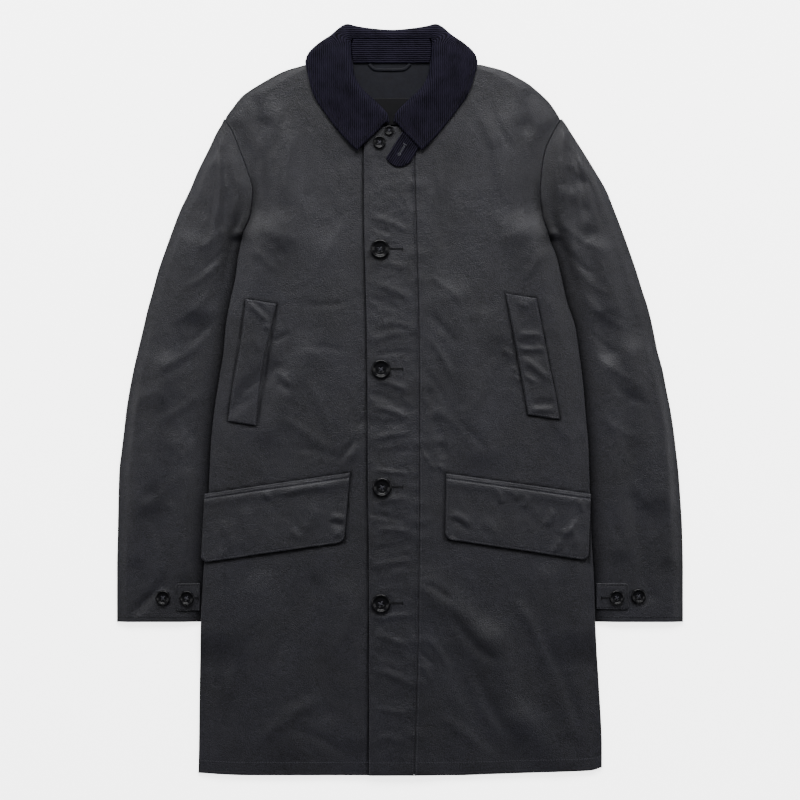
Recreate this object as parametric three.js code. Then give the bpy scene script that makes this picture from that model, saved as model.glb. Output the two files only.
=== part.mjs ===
import * as THREE from 'three';

// Waxed cotton jacket, fastened, laid on its back with the sleeves down beside the body.
// Millimetres. X runs across the jacket, Y from the hem to the collar, Z up from the floor.
// Left and right are the wearer's, so the left side lies at +X.

// Driving dimensions
const wall = 2.2; // shell cloth with its inner layer
const thinWall = 1.2; // lining, hanger loop and label
const gap = 0.3; // between pieces at a seam, and between layers
const hemY = -481;
const shoulderY = 430; // top row of the fronts and the back, at the neck
const armpitY = 216;
const cuffY = -284.5;
const hollow = 2; // between the fronts and the back, away from the edges
const neckRise = 1.8; // fronts stand this much higher round the neck
const edgeLift = 5.6; // the body's side edges ride this high over the sleeves
const edgeShelf = 22; // width of the raised strip at each side edge
const edgeSlope = 50; // width over which it comes down to the floor
const closing = 26; // width over which a panel comes down to its seam
const sleeveTuck = 13; // how far the sleeve runs in under the body's edge
const sleeveCrown = 3.2; // between the two pieces of a sleeve, away from its edges
const lapRise = wall + gap; // the left front lies this much above the right one
const lapSlope = 48;
const neckCentreX = -11;
const collarWall = 2.4;
const standSeamY = 463;

const table = (columns, rows) =>
  rows.map((row) => Object.fromEntries(columns.map((name, k) => [name, row[k]])));

// Side, armhole and shoulder edges of the body, from the neck down
const bodyEdges = table(['y', 'right', 'left'], [
  [430, -121, 104], [422, -148, 134], [414, -164, 150], [406, -178, 164], [398, -191, 174],
  [390, -202, 183], [382, -209, 191], [374, -215, 197], [366, -221, 202], [360, -224, 205],
  [346, -216, 198], [322, -206, 187], [298, -197, 182], [268, -189, 180], [236, -192, 183],
  [216, -200, 189], [204, -203, 192], [184, -207, 200], [155, -211, 207], [128, -217, 213],
  [94, -223, 224], [61, -226, 229], [23, -232, 234], [-25, -239, 238], [-58, -242, 241],
  [-122, -245, 243], [-176, -248, 245], [-228, -252, 248], [-285, -255, 250],
  [-363, -257, 255], [-448, -258, 259], [-481, -258.6, 259],
]);

// Outer edges of the sleeves, from the shoulder point down
const sleeveEdges = table(['y', 'right', 'left'], [
  [360, -226, 208], [353, -229, 213], [345, -234, 218], [320, -246, 234], [294, -259, 250],
  [268, -270, 265], [243, -282, 275], [217, -292, 285], [192, -301, 294], [166, -310, 303],
  [140, -317, 311], [115, -324, 319], [89, -330, 325], [64, -336, 330], [38, -342, 337],
  [12, -347, 342], [-13, -351, 347], [-39, -354, 351], [-64, -357, 354], [-90, -360, 357],
  [-116, -361, 359], [-167, -362, 362], [-218, -363, 363], [-284.5, -363, 363],
]);

// Neck edges of the fronts, which the collar hides
const neckEdges = table(['y', 'right', 'left'], [
  [430, -84, 62], [417, -81, 59], [404, -75, 52], [394, -67, 44], [380, -50, 26],
  [365, -34, 16], [356, -26, 20], [350, -20, 20], [345, 14, 20],
]);

// Free edge of the placket, and the seam that joins it to the left front
const placketEdges = table(['y', 'free', 'seam'], [
  [350, -44, 18], [316, -46.5, 18.5], [239, -46.5, 20.5], [192, -45.5, 21.8],
  [96, -43, 24.1], [0, -41.8, 24.8], [-64, -41.6, 25], [-256, -39.7, 23.9],
  [-403, -39.7, 20.5], [-481, -39.7, 18],
]);

// How far the hem rises above its lowest line
const hemLine = table(['x', 'rise'], [
  [-259, 2.8], [-192, 0], [72, 0], [114, 1.4], [205, 4.5], [245, 6], [259, 10],
]);

// Folds: the line each one follows, its half width, and its height, with troughs below zero
const foldColumns = ['x0', 'y0', 'x1', 'y1', 'width', 'height'];
const bodyFolds = table(foldColumns, [
  [-186, 384, -175, 350, 9, -1.6], [-175, 350, -184, 240, 10, -1.8],
  [-160, 360, -150, 210, 20, 2.4],
  [165, 390, 161, 350, 9, -1.7], [161, 350, 175, 240, 10, -1.8],
  [138, 350, 132, 90, 26, 2.8], [118, 320, 112, 120, 10, -1.2],
  [70, 128, 104, -62, 22, 2.6], [-90, 190, -70, -60, 24, 2.2],
  [-160, 40, -222, -20, 9, -1.5], [-120, 60, -170, -40, 16, 1.8],
  [38, -243, 115, -308, 18, 2.6], [115, -308, 154, -410, 22, 3],
  [154, -410, 205, -461, 20, 2.2], [70, -330, 110, -440, 14, -1.3],
  [-180, -250, -150, -440, 24, 2.4], [-110, -240, -92, -400, 15, -1.4],
  [-70, -250, -60, -430, 18, 1.8], [190, -230, 215, -420, 18, 1.8],
]);
const placketPuckers = table(foldColumns, [
  [-34, 232, 8, 214, 6, 0.7], [-30, 150, 14, 128, 7, 0.8], [-36, 72, 6, 88, 6, 0.7],
  [-32, 8, 14, -6, 7, 0.9], [-34, -60, 8, -42, 6, 0.8], [-30, -150, 12, -164, 7, 0.8],
  [-30, -215, 10, -196, 6, 0.7], [-32, -300, 12, -322, 8, 0.9], [-30, -352, 10, -380, 8, 0.8],
]);
const sleeveFolds = {
  right: table(foldColumns, [
    [-219, 333, -223, 225, 8, -1.5], [-223, 225, -236, 129, 9, -1.6],
    [-240, 300, -262, 120, 17, 3], [-270, 200, -310, 10, 16, 2.6],
    [-255, 90, -268, -80, 12, -1.4], [-300, 40, -322, -130, 18, 3.2],
    [-280, -60, -272, -220, 15, 2.4], [-335, 0, -340, -200, 12, 1.8],
    [-335, -270, -306, -238, 7, -1.5], [-318, -120, -300, -240, 9, -1.3],
  ]),
  left: table(foldColumns, [
    [219, 333, 233, 278, 8, -1.6], [233, 278, 244, 212, 9, -1.6],
    [203, 336, 210, 268, 12, 1.6], [240, 300, 262, 120, 17, 3.2],
    [262, 190, 300, 20, 14, 2.6], [244, 212, 262, 60, 9, -1.5],
    [300, 60, 326, -120, 18, 3.1], [270, 40, 284, -190, 13, 2.4],
    [340, 20, 346, -200, 12, 1.8], [300, -130, 318, -250, 9, -1.3],
  ]),
};

const clamp = (value, low, high) => Math.min(high, Math.max(low, value));
const smooth = (t) => {
  const k = clamp(t, 0, 1);
  return k * k * (3 - 2 * k);
};
const mix = (a, b, t) => a + (b - a) * t;

// Value of a column at a place between two rows of a table
function lookUp(rows, key, place, column) {
  const rising = rows[1][key] > rows[0][key];
  let k = 1;
  while (k < rows.length - 1 && (rising ? rows[k][key] < place : rows[k][key] > place)) k += 1;
  const t = clamp((place - rows[k - 1][key]) / (rows[k][key] - rows[k - 1][key]), 0, 1);
  return mix(rows[k - 1][column], rows[k][column], t);
}
const bodyEdge = (side, y) => lookUp(bodyEdges, 'y', y, side);
const placketX = (edge, y) => lookUp(placketEdges, 'y', y, edge);

// Sum of the folds at a point, each one faded out towards its ends
function foldHeight(folds, x, y) {
  let height = 0;
  for (const fold of folds) {
    const dx = fold.x1 - fold.x0;
    const dy = fold.y1 - fold.y0;
    const t = ((x - fold.x0) * dx + (y - fold.y0) * dy) / (dx * dx + dy * dy);
    const away = Math.hypot(x - mix(fold.x0, fold.x1, clamp(t, 0, 1)),
      y - mix(fold.y0, fold.y1, clamp(t, 0, 1)));
    height += fold.height * Math.exp(-((away / fold.width) ** 2));
  }
  return height;
}

// Distance in from the nearer side, armhole or shoulder edge of the body
const insideBody = (x, y) => Math.min(x - bodyEdge('right', y), bodyEdge('left', y) - x);

// Height of the back's underside, which lifts at the side edges where the sleeves run under
function backLift(x, y) {
  const alongSide = smooth((armpitY + 34 - y) / 44) * smooth((y - (cuffY - 56)) / 48);
  const acrossSide = 1 - smooth((insideBody(x, y) - edgeShelf) / edgeSlope);
  return edgeLift * alongSide * acrossSide;
}

// Height of the right front's outer face; the left front lies on the same form, raised at the lap
function frontTop(x, y) {
  const lowest = backLift(x, y) + 2 * wall + gap;
  const open = smooth(insideBody(x, y) / closing);
  const round = neckRise * smooth((y - 300) / 50) * (1 - smooth((Math.abs(x - neckCentreX) - 70) / 40));
  return lowest + open * Math.max(hollow + round + foldHeight(bodyFolds, x, y), 0);
}
function leftFrontTop(x, y) {
  const lap = 1 - smooth((x - placketX('seam', y)) / lapSlope);
  return frontTop(x, y) + lapRise * lap;
}

// Rows that the fronts, the back and the placket share
const bodyRows = [
  430, 420, 409, 397, 385, 372, 360, 350, 334, 314, 290, 264, 240, 216, 210, 204, 182, 152, 121,
  90, 58, 26, -6, -38, -70, -102, -134, -166, -198, -230, -260, -285, -308, -331, -361, -391,
  -421, -451, hemY,
];
const edgeColumns = [0, 14, 26, 42, 58, 72]; // distances in from the side edge
const fullWidth = 210; // a panel narrower than this has its columns drawn together

// A row's Y at some X: straight across, but following the hem near the bottom
const rowY = (x, y) => y + lookUp(hemLine, 'x', x, 'rise') * (1 - smooth((y - hemY) / 60));

// Points across one row, from the side edge to the inner edge of a half body
function halfColumns(outer, inner, middleCells) {
  const width = Math.abs(inner - outer);
  const shrink = Math.min(1, width / fullWidth);
  const distances = edgeColumns.map((d) => d * shrink);
  const last = distances[distances.length - 1];
  for (let k = 1; k <= middleCells; k += 1) {
    distances.push(mix(last, width, k / middleCells));
  }
  return distances.map((d) => outer + Math.sign(inner - outer) * d);
}

// Closed wall between an upper and a lower grid of points, turned so that its faces point out
function closedWall(upper, lower) {
  const rows = upper.length;
  const columns = upper[0].length;
  const points = [...upper.flat(), ...lower.flat()];
  const below = rows * columns;
  const triangles = [];
  const quad = (a, b, c, d) => triangles.push([a, b, c], [a, c, d]);
  for (let i = 0; i < rows - 1; i += 1) {
    for (let j = 0; j < columns - 1; j += 1) {
      const a = i * columns + j;
      quad(a, a + columns, a + columns + 1, a + 1);
      quad(below + a, below + a + 1, below + a + columns + 1, below + a + columns);
    }
  }
  const rim = [];
  for (let j = 0; j < columns - 1; j += 1) rim.push(j);
  for (let i = 0; i < rows - 1; i += 1) rim.push(i * columns + columns - 1);
  for (let j = columns - 1; j > 0; j -= 1) rim.push((rows - 1) * columns + j);
  for (let i = rows - 1; i > 0; i -= 1) rim.push(i * columns);
  rim.forEach((a, k) => {
    const b = rim[(k + 1) % rim.length];
    quad(a, b, below + b, below + a);
  });
  const volume = triangles.reduce((sum, [a, b, c]) => sum + new THREE.Vector3(...points[a])
    .dot(new THREE.Vector3(...points[b]).cross(new THREE.Vector3(...points[c]))), 0);
  const outward = volume > 0 ? triangles : triangles.map(([a, b, c]) => [a, c, b]);
  const geometry = new THREE.BufferGeometry();
  geometry.setAttribute('position', new THREE.Float32BufferAttribute(points.flat(), 3));
  geometry.setIndex(outward.flat());
  return geometry;
}

// Wall whose faces stand at a height above or below each point of a plan
function layWall(plan, upperZ, lowerZ) {
  const place = (height) => plan.map((row) => row.map(([x, y]) => [x, y, height(x, y)]));
  return closedWall(place(upperZ), place(lowerZ));
}

const materials = {
  waxedCotton: new THREE.MeshStandardMaterial({ color: 0x26262e, roughness: 0.55, metalness: 0 }),
  corduroy: new THREE.MeshStandardMaterial({ color: 0x1d1c29, roughness: 0.9, metalness: 0 }),
  lining: new THREE.MeshStandardMaterial({ color: 0x3b414c, roughness: 0.6, metalness: 0 }),
  label: new THREE.MeshStandardMaterial({ color: 0x14141a, roughness: 0.7, metalness: 0 }),
  button: new THREE.MeshStandardMaterial({ color: 0x0c0c0e, roughness: 0.25, metalness: 0 }),
};

const jacket = new THREE.Group();
function addPiece(name, geometry, material) {
  const piece = new THREE.Mesh(geometry, material);
  piece.name = name;
  jacket.add(piece);
  return piece;
}

// Back: one panel, its side columns in step with those of the fronts
const backPlan = bodyRows.map((y) => {
  const middle = placketX('seam', y);
  const right = halfColumns(bodyEdge('right', y), middle, 1);
  const left = halfColumns(bodyEdge('left', y), middle, 1).reverse().slice(1);
  return [...right, ...left].map((x) => [x, rowY(x, y)]);
});
addPiece('back', layWall(backPlan, (x, y) => backLift(x, y) + wall, backLift), materials.waxedCotton);

// Fronts: the right one runs on under the placket, the left one ends at the placket's seam
function frontPlan(side) {
  return bodyRows.map((y) => {
    const seam = placketX('seam', y) + (side === 'left' ? gap / 2 : -gap - 2);
    const neck = lookUp(neckEdges, 'y', y, side);
    const inner = y > 345 ? neck : seam;
    return halfColumns(bodyEdge(side, y), inner, 7).map((x) => [x, rowY(x, y)]);
  });
}
const rightPlan = frontPlan('right');
const leftPlan = frontPlan('left');
addPiece('front_right', layWall(rightPlan, frontTop, (x, y) => frontTop(x, y) - wall),
  materials.waxedCotton);
addPiece('front_left', layWall(leftPlan, leftFrontTop, (x, y) => leftFrontTop(x, y) - wall),
  materials.waxedCotton);

// Height of a built panel between its own points, so that what lies on it can be moved clear
function meshHeight(plan, height) {
  return (x, y) => {
    let i = 1;
    while (i < plan.length - 1 && rowYOf(plan[i], x) > y) i += 1;
    const t = clamp((y - rowYOf(plan[i - 1], x)) / (rowYOf(plan[i], x) - rowYOf(plan[i - 1], x)), 0, 1);
    return mix(rowHeight(plan[i - 1], x, height), rowHeight(plan[i], x, height), t);
  };
}
function rowPair(row, x) {
  const rising = row[row.length - 1][0] > row[0][0];
  let j = 1;
  while (j < row.length - 1 && (rising ? row[j][0] < x : row[j][0] > x)) j += 1;
  const t = clamp((x - row[j - 1][0]) / (row[j][0] - row[j - 1][0]), 0, 1);
  return [row[j - 1], row[j], t];
}
function rowYOf(row, x) {
  const [a, b, t] = rowPair(row, x);
  return mix(a[1], b[1], t);
}
function rowHeight(row, x, height) {
  const [a, b, t] = rowPair(row, x);
  return mix(height(...a), height(...b), t);
}

// Highest point of a panel round a place, so that a piece between its own points stays clear
const clearOver = (surface, reach) => (x, y) => {
  let highest = -Infinity;
  const steps = [-1, -0.5, 0, 0.5, 1];
  for (const u of steps) {
    for (const v of steps) highest = Math.max(highest, surface(x + u * reach, y + v * reach));
  }
  return highest;
};
const rightFace = meshHeight(rightPlan, frontTop);
const leftFace = meshHeight(leftPlan, leftFrontTop);

// Placket: a band down the left front's edge, over the right front
const placketColumns = [0, 0.12, 0.37, 0.63, 0.88, 1];
const placketPlan = bodyRows.filter((y) => y <= 350).map((y) => {
  const free = placketX('free', y);
  const seam = placketX('seam', y) - gap / 2;
  return placketColumns.map((u) => [mix(free, seam, u), rowY(mix(free, seam, u), y)]);
});
const underPlacket = clearOver(rightFace, 4);
const placketTop = (x, y) =>
  underPlacket(x, y) + gap + wall + Math.max(foldHeight(placketPuckers, x, y), 0);
addPiece('placket', layWall(placketPlan, placketTop, (x, y) => placketTop(x, y) - wall),
  materials.waxedCotton);
const placketFace = meshHeight(placketPlan, placketTop);

// Sleeves: each a top and an under piece, closed round a flat tube and open at the cuff
const sleeveRows = [
  ...bodyRows.filter((y) => y <= 360 && y >= 204),
  188, 168, 142, 114, 84, 53, 21, -11, -44, -77, -110, -143, -176, -209, -238, -262, cuffY,
];
const sleeveSides = [{ side: 'right', out: -1 }, { side: 'left', out: 1 }];
function sleeveInner(side, out, y) {
  const tuck = sleeveTuck * smooth((204 - y) / 34);
  return bodyEdge(side, y) + out * (gap + 0.4 - tuck);
}
const sleevePlan = ({ side, out }, columns) => sleeveRows.map((y) => {
  const inner = sleeveInner(side, out, y);
  const outer = lookUp(sleeveEdges, 'y', y, side);
  return columns.map((u) => [mix(inner, outer, u), y]);
});
const topColumns = [0, 0.09, 0.18, 0.28, 0.38, 0.48, 0.58, 0.68, 0.78, 0.87, 0.95, 1];
const underColumns = [0, 0.5, 1];
const sleeveFaces = {};
for (const sleeve of sleeveSides) {
  const { side, out } = sleeve;
  const crest = (x, y) => {
    const fromBody = out * (x - bodyEdge(side, y)) - (y < armpitY ? 5 : 0);
    const fromOuter = out * (lookUp(sleeveEdges, 'y', y, side) - x);
    const room = smooth(fromBody / 24) * smooth(fromOuter / 16);
    const rise = Math.max(sleeveCrown + foldHeight(sleeveFolds[side], x, y), 0.6);
    return 2 * wall + gap + room * rise;
  };
  const topPlan = sleevePlan(sleeve, topColumns);
  addPiece(`top_sleeve_${side}`, layWall(topPlan, crest, (x, y) => crest(x, y) - wall),
    materials.waxedCotton);
  addPiece(`under_sleeve_${side}`, layWall(sleevePlan(sleeve, underColumns), () => wall, () => 0),
    materials.waxedCotton);
  sleeveFaces[side] = meshHeight(topPlan, crest);
}

// A patch laid on a panel: rows of points between two edges, moved out from the panel's face
function layOn(face, plan, reach, thickness) {
  const clear = clearOver(face, reach);
  return layWall(plan, (x, y) => clear(x, y) + gap + thickness, (x, y) => clear(x, y) + gap);
}

// Hand-warmer welts: slanted strips, top to bottom
const welts = {
  right: table(['y', 'outer', 'inner'], [
    [129, -197, -158], [90, -201, -167], [48, -208, -176], [8, -215, -181], [-27, -220, -184]]),
  left: table(['y', 'outer', 'inner'], [
    [130, 174, 135], [90, 182, 143], [48, 190, 151], [10, 198, 158], [-25, 204, 164]]),
};
const weltSlant = { right: 6, left: -6 }; // rise or fall of the short ends across a welt
const frontFaces = { right: rightFace, left: leftFace };
for (const side of ['right', 'left']) {
  const rows = welts[side];
  const plan = [0, 1, 2, 3, 4, 5, 6, 7, 8].map((k) => {
    const y = mix(rows[0].y, rows[rows.length - 1].y, k / 8);
    const edgeX = (edge) => lookUp(rows, 'y', y, edge);
    return [0, 0.33, 0.67, 1].map((u) => [mix(edgeX('outer'), edgeX('inner'), u), y - weltSlant[side] * u]);
  });
  addPiece(`welt_${side}`, layOn(frontFaces[side], plan, 13, wall), materials.waxedCotton);
}

// Pocket flaps: a four-sided patch with its two lower corners rounded
const flaps = {
  right: { top: [[-250, -120], [-64, -93]], bottom: [[-254, -208], [-71, -182]] },
  left: { top: [[59, -94], [244, -120]], bottom: [[58, -178], [241, -205]] },
};
const flapCorner = 9;
function flapPlan({ top, bottom }) {
  const width = top[1][0] - top[0][0];
  const near = [0, 0.3 * flapCorner, flapCorner];
  const across = [...near, ...[0.14, 0.23, 0.32, 0.41, 0.5, 0.59, 0.68, 0.77, 0.86].map((u) => u * width),
    ...near.map((d) => width - d).reverse()];
  const down = [0, 0.22, 0.45, 0.7, 0.9, 1];
  return down.map((v) => across.map((d) => {
    const u = d / width;
    const short = Math.max(flapCorner - Math.min(d, width - d), 0);
    const round = flapCorner - Math.sqrt(flapCorner ** 2 - short ** 2);
    const topY = mix(top[0][1], top[1][1], u);
    const bottomY = mix(bottom[0][1], bottom[1][1], u) + round;
    const x = mix(mix(top[0][0], top[1][0], u), mix(bottom[0][0], bottom[1][0], u), v);
    return [x, mix(topY, bottomY, v)];
  }));
}
for (const side of ['right', 'left']) {
  addPiece(`flap_${side}`, layOn(frontFaces[side], flapPlan(flaps[side]), 11, wall),
    materials.waxedCotton);
}

// Cuff tabs, sewn in at the body side of each sleeve and buttoned
const cuffTabs = {
  right: { inner: -256.4, outer: -287.4, top: -234.6, bottom: -270 },
  left: { inner: 251.6, outer: 292.6, top: -234.6, bottom: -268 },
};
for (const side of ['right', 'left']) {
  const { inner, outer, top, bottom } = cuffTabs[side];
  const rounding = 4;
  const plan = [0, 0.25, 0.5, 0.75, 1].map((v) => [0, 0.3, 0.65, 1].map((u) => {
    const short = u === 1 && (v === 0 || v === 1) ? rounding : 0;
    return [mix(inner, outer, u) - Math.sign(outer - inner) * short, mix(top, bottom, v)];
  }));
  addPiece(`cuff_tab_${side}`, layOn(sleeveFaces[side], plan, 4, 1.6), materials.waxedCotton);
}

// Collar: half of its sections from the front edge to the middle of the back, each from the
// inner edge over the roll and out to the free edge; X is measured out from the neck's centre.
// The left leaf's free edge lies nearer the centre, by its row of leanIn
const collarHalf = [
  { inner: [3, 354, 12.2], roll: [6, 355, 15], mid: [17, 344, 15], fold: [31, 331, 14.6], edge: [44, 318.5, 14] },
  { inner: [6, 366, 8], roll: [12, 367, 16], mid: [29, 352, 15.2], fold: [42, 340, 14], edge: [53, 327.5, 13.2] },
  { inner: [22, 384, 5.6], roll: [28, 380, 17], mid: [46, 366, 15], fold: [58.5, 355, 12.4], edge: [69.5, 346, 11.6] },
  { inner: [38, 399, 5.2], roll: [45, 395, 17], mid: [64, 384, 14.6], fold: [76.5, 375, 11.8], edge: [86.5, 369, 10.8] },
  { inner: [47, 415, 5.2], roll: [54, 411, 16.6], mid: [72, 404, 14.2], fold: [88.5, 397, 11.2], edge: [100.5, 392, 10.2] },
  { inner: [50.5, 434, 5.4], roll: [58, 431, 16], mid: [78, 427, 13.6], fold: [96, 422, 10.4], edge: [107, 417.5, 9.2] },
  { inner: [51.5, 445, 5.6], roll: [60, 446, 14.6], mid: [82, 444, 12.4], fold: [106, 441, 8.6], edge: [109.4, 433.6, 7.6] },
  { inner: [52, 453, 5.8], roll: [61, 458, 12], mid: [80, 458, 9.6], fold: [96, 453.4, 4.6], edge: [86, 437, 1.8] },
  { inner: [52, 458.5, 5.8], roll: [60, 468, 9.6], mid: [72, 471, 6.4], fold: [74, 466, 2.6], edge: [68, 437, 1.8] },
  { inner: [50.5, 462.4, 5.8], roll: [55, 473, 7.4], mid: [58, 480.9, 4.2], fold: [55, 472, 1.9], edge: [52, 437, 1.7] },
  { inner: [45, standSeamY, 5.8], roll: [46, 472, 7.2], mid: [46, 478.6, 4.2], fold: [46, 471, 1.9], edge: [46, 437, 1.7] },
  { inner: [30, standSeamY, 5.8], roll: [30, 470.4, 6.8], mid: [30, 476, 4.1], fold: [30, 470, 1.9], edge: [30, 437, 1.7] },
  { inner: [0, standSeamY, 5.8], roll: [0, 468.6, 6.6], mid: [0, 473.6, 4.1], fold: [0, 467, 1.9], edge: [0, 437, 1.7] },
];
const leanIn = [5, 5, 5, 4, 2];
const sectionSteps = 9;
function collarSection(row, mirror, place) {
  const ends = [row.inner, row.roll, row.mid, row.fold, row.edge];
  const lean = mirror > 0 ? leanIn[place] ?? 0 : 0;
  const points = ends.map(([x, y, z], k) =>
    new THREE.Vector3(neckCentreX + mirror * (x - lean * k / (ends.length - 1)), y, z));
  return new THREE.CatmullRomCurve3(points, false, 'centripetal').getPoints(sectionSteps);
}
const collarSections = [
  ...collarHalf.map((row, k) => collarSection(row, -1, k)),
  ...collarHalf.slice(0, -1).map((row, k) => collarSection(row, 1, k)).reverse(),
];
// Sections between the given ones come from a smooth curve through them
const collarLength = 2 * (collarSections.length - 1);
const collarGrid = [];
for (let k = 0; k <= sectionSteps; k += 1) {
  const curve = new THREE.CatmullRomCurve3(collarSections.map((s) => s[k]), false, 'centripetal');
  for (let i = 0; i <= collarLength; i += 1) {
    collarGrid[i] = collarGrid[i] ?? [];
    collarGrid[i][k] = curve.getPoint(i / collarLength);
  }
}
// Wall of even thickness about a curved middle surface
function thicken(grid, thickness) {
  const offset = (side) => grid.map((row, i) => row.map((point, j) => {
    const ahead = grid[Math.min(i + 1, grid.length - 1)][j];
    const behind = grid[Math.max(i - 1, 0)][j];
    const across = row[Math.min(j + 1, row.length - 1)];
    const back = row[Math.max(j - 1, 0)];
    const normal = ahead.clone().sub(behind).cross(across.clone().sub(back)).normalize();
    return point.clone().addScaledVector(normal, side * thickness / 2).toArray();
  }));
  return closedWall(offset(1), offset(-1));
}
addPiece('collar_fall', thicken(collarGrid, collarWall), materials.corduroy);

// Collar stand: the band inside the back of the neck, below the seam with the fall
const standRows = table(['y', 'half'], [
  [standSeamY - 2 * gap, 47], [452, 49.5], [443, 49], [432, 47.5],
]);
const standPlan = standRows.map(({ y, half }) =>
  [-1, -0.67, -0.33, 0, 0.33, 0.67, 1].map((u) => [neckCentreX + u * half, y]));
const standLow = 4.4;
addPiece('collar_stand', layWall(standPlan, () => standLow + wall, () => standLow), materials.corduroy);

// Lining at the back neck, under the stand, the fronts' neck edges and the label
const liningPlan = [436, 420, 400, 380, 360, 346].map((y) =>
  [-1, -0.5, 0, 0.5, 1].map((u) => [neckCentreX + u * lookUp(
    table(['y', 'half'], [[436, 48], [420, 66], [400, 62], [380, 50], [360, 40], [346, 36]]),
    'y', y, 'half'), y]));
addPiece('back_lining', layWall(liningPlan, () => wall + gap + thinWall, () => wall + gap),
  materials.lining);
const liningTop = wall + gap + thinWall;

// Hanger loop: a flat tape whose ends run in under the stand
const loopPath = [[-41, 434], [-34.6, 421.5], [5.1, 421.5], [14.1, 434]];
const loopWidth = 4.6;
const loopPlan = loopPath.map(([x, y], k) => {
  const lean = k === 0 || k === 3 ? 0 : loopWidth;
  const inward = Math.sign(neckCentreX - x) * (k === 0 || k === 3 ? loopWidth : loopWidth / 2);
  return [[x, y], [x + inward, y + lean]];
});
addPiece('hanger_loop', layWall(loopPlan.map((pair) => pair.map(([x, y]) => [x, Math.min(y, 431)])),
  () => liningTop + gap + 0.8, () => liningTop + gap), materials.lining);

// Label, left plain
const labelPlan = [387, 378, 368, 352].map((y) => [-43, -15, 15, 43].map((x) =>
  [neckCentreX + x * mix(0.72, 1, (y - 352) / 35), y]));
addPiece('label', layWall(labelPlan, () => liningTop + gap + 0.7, () => liningTop + gap),
  materials.label);

// Throat latch: a broad tab from under the left leaf of the collar, measured across and along
// the tab from where its upper edge comes into view
const latchStart = [-6.4, 327.4];
const latchTurn = THREE.MathUtils.degToRad(32.3); // from straight down towards the right side
const latchColumns = table(['across', 'from', 'to'], [
  [0, -20, 21.5], [7, -18.5, 24], [14, -17, 24.2], [20, -15.6, 21.8], [25, -14.4, 17], [29, -13, 8],
]);
const latchPlan = [0, 0.3, 0.6, 0.85, 1].map((v) => latchColumns.map(({ across, from, to }) => {
  const along = mix(from, to, v);
  return [latchStart[0] + across * Math.cos(latchTurn) - along * Math.sin(latchTurn),
    latchStart[1] - across * Math.sin(latchTurn) - along * Math.cos(latchTurn)];
}));
addPiece('throat_latch', layOn(placketFace, latchPlan, 3, 1.6), materials.corduroy);

// Buttons: a raised rim round a dished middle
function buttonGeometry(radius, height, segments) {
  const profile = [
    [0, 0], [0.78, 0], [1, 0.4], [1, 0.75], [0.92, 1], [0.76, 1], [0.64, 0.66], [0, 0.6],
  ];
  const points = profile.map(([r, h]) => new THREE.Vector2(r * radius, h * height));
  return new THREE.LatheGeometry(points, segments).rotateX(Math.PI / 2);
}
function addButton(name, x, y, face, size) {
  const button = addPiece(name, buttonGeometry(size.radius, size.height, size.segments),
    materials.button);
  button.position.set(x, y, clearOver(face, 0.7 * size.radius)(x, y) + gap);
}
const largeButton = { radius: 12.4, height: 4.6, segments: 16 };
const smallButton = { radius: 9.6, height: 3.8, segments: 12 };
const neckButton = { radius: 8.3, height: 3, segments: 12 };
const frontButtons = table(['x', 'y'], [[-25.6, 193], [-24.3, 39.4], [-23, -111.7], [-24.3, -260.2]]);
frontButtons.forEach(({ x, y }, k) => addButton(`front_button_${k + 1}`, x, y, placketFace, largeButton));
addButton('placket_top_button', -26.5, 329.5, placketFace, neckButton);
addButton('latch_button', -14, 344.6, placketFace, { ...neckButton, radius: 6 });

const tabFace = (side) => {
  const clear = clearOver(sleeveFaces[side], 4);
  return (x, y) => clear(x, y) + gap + 1.6;
};
addButton('cuff_button_right', -272.6, -253.1, tabFace('right'), smallButton);
addButton('cuff_button_left', 276.9, -252.7, tabFace('left'), smallButton);
addButton('spare_cuff_button_right', -303.4, -252.9, sleeveFaces.right, smallButton);
addButton('spare_cuff_button_left', 305.2, -250.9, sleeveFaces.left, smallButton);

export default jacket;
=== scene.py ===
import math
from functools import partial
import bpy
import numpy as np
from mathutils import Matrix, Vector


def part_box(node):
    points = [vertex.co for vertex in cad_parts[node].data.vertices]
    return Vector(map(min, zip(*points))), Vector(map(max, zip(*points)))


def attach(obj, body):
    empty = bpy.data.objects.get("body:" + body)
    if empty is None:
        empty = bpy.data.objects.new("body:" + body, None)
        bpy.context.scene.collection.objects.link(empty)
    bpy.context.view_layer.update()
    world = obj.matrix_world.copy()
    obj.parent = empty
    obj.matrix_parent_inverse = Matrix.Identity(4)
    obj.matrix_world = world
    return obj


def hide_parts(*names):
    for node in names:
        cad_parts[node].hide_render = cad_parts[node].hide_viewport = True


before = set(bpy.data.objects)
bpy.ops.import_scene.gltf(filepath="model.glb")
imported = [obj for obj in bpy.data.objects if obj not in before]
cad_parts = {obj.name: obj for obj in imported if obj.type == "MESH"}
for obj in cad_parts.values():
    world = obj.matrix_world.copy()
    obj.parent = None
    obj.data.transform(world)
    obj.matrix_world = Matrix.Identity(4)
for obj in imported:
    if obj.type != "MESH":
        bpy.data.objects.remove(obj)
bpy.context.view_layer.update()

# A waxed cotton jacket laid on its back. The tables below are in millimetres, in the jacket's
# own frame: X across, Y from hem to collar, Z up. Meshes are written in metres.
# Left and right are the wearer's, so the left side lies at +X.
mm = 0.001

body = {
    "wall": 2.2, "gap": 0.3, "neckY": 430, "placketY": 350, "armpitY": 216, "cuffY": -284.5,
    "hemY": -481, "neckCentreX": -11, "hollow": 2.0, "closing": 26, "lapSlope": 48,
    "cell": 3.0, "backCell": 6, "crumple": 0.42, "leastRise": 0.15,
    "pocketCalm": 0.85, "edgeWave": 0.35,
}
# How far the fronts rise below the neck, and where
neckRise = {"height": 1.8, "fromY": 300, "run": 50, "half": 70, "fade": 40}
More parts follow.
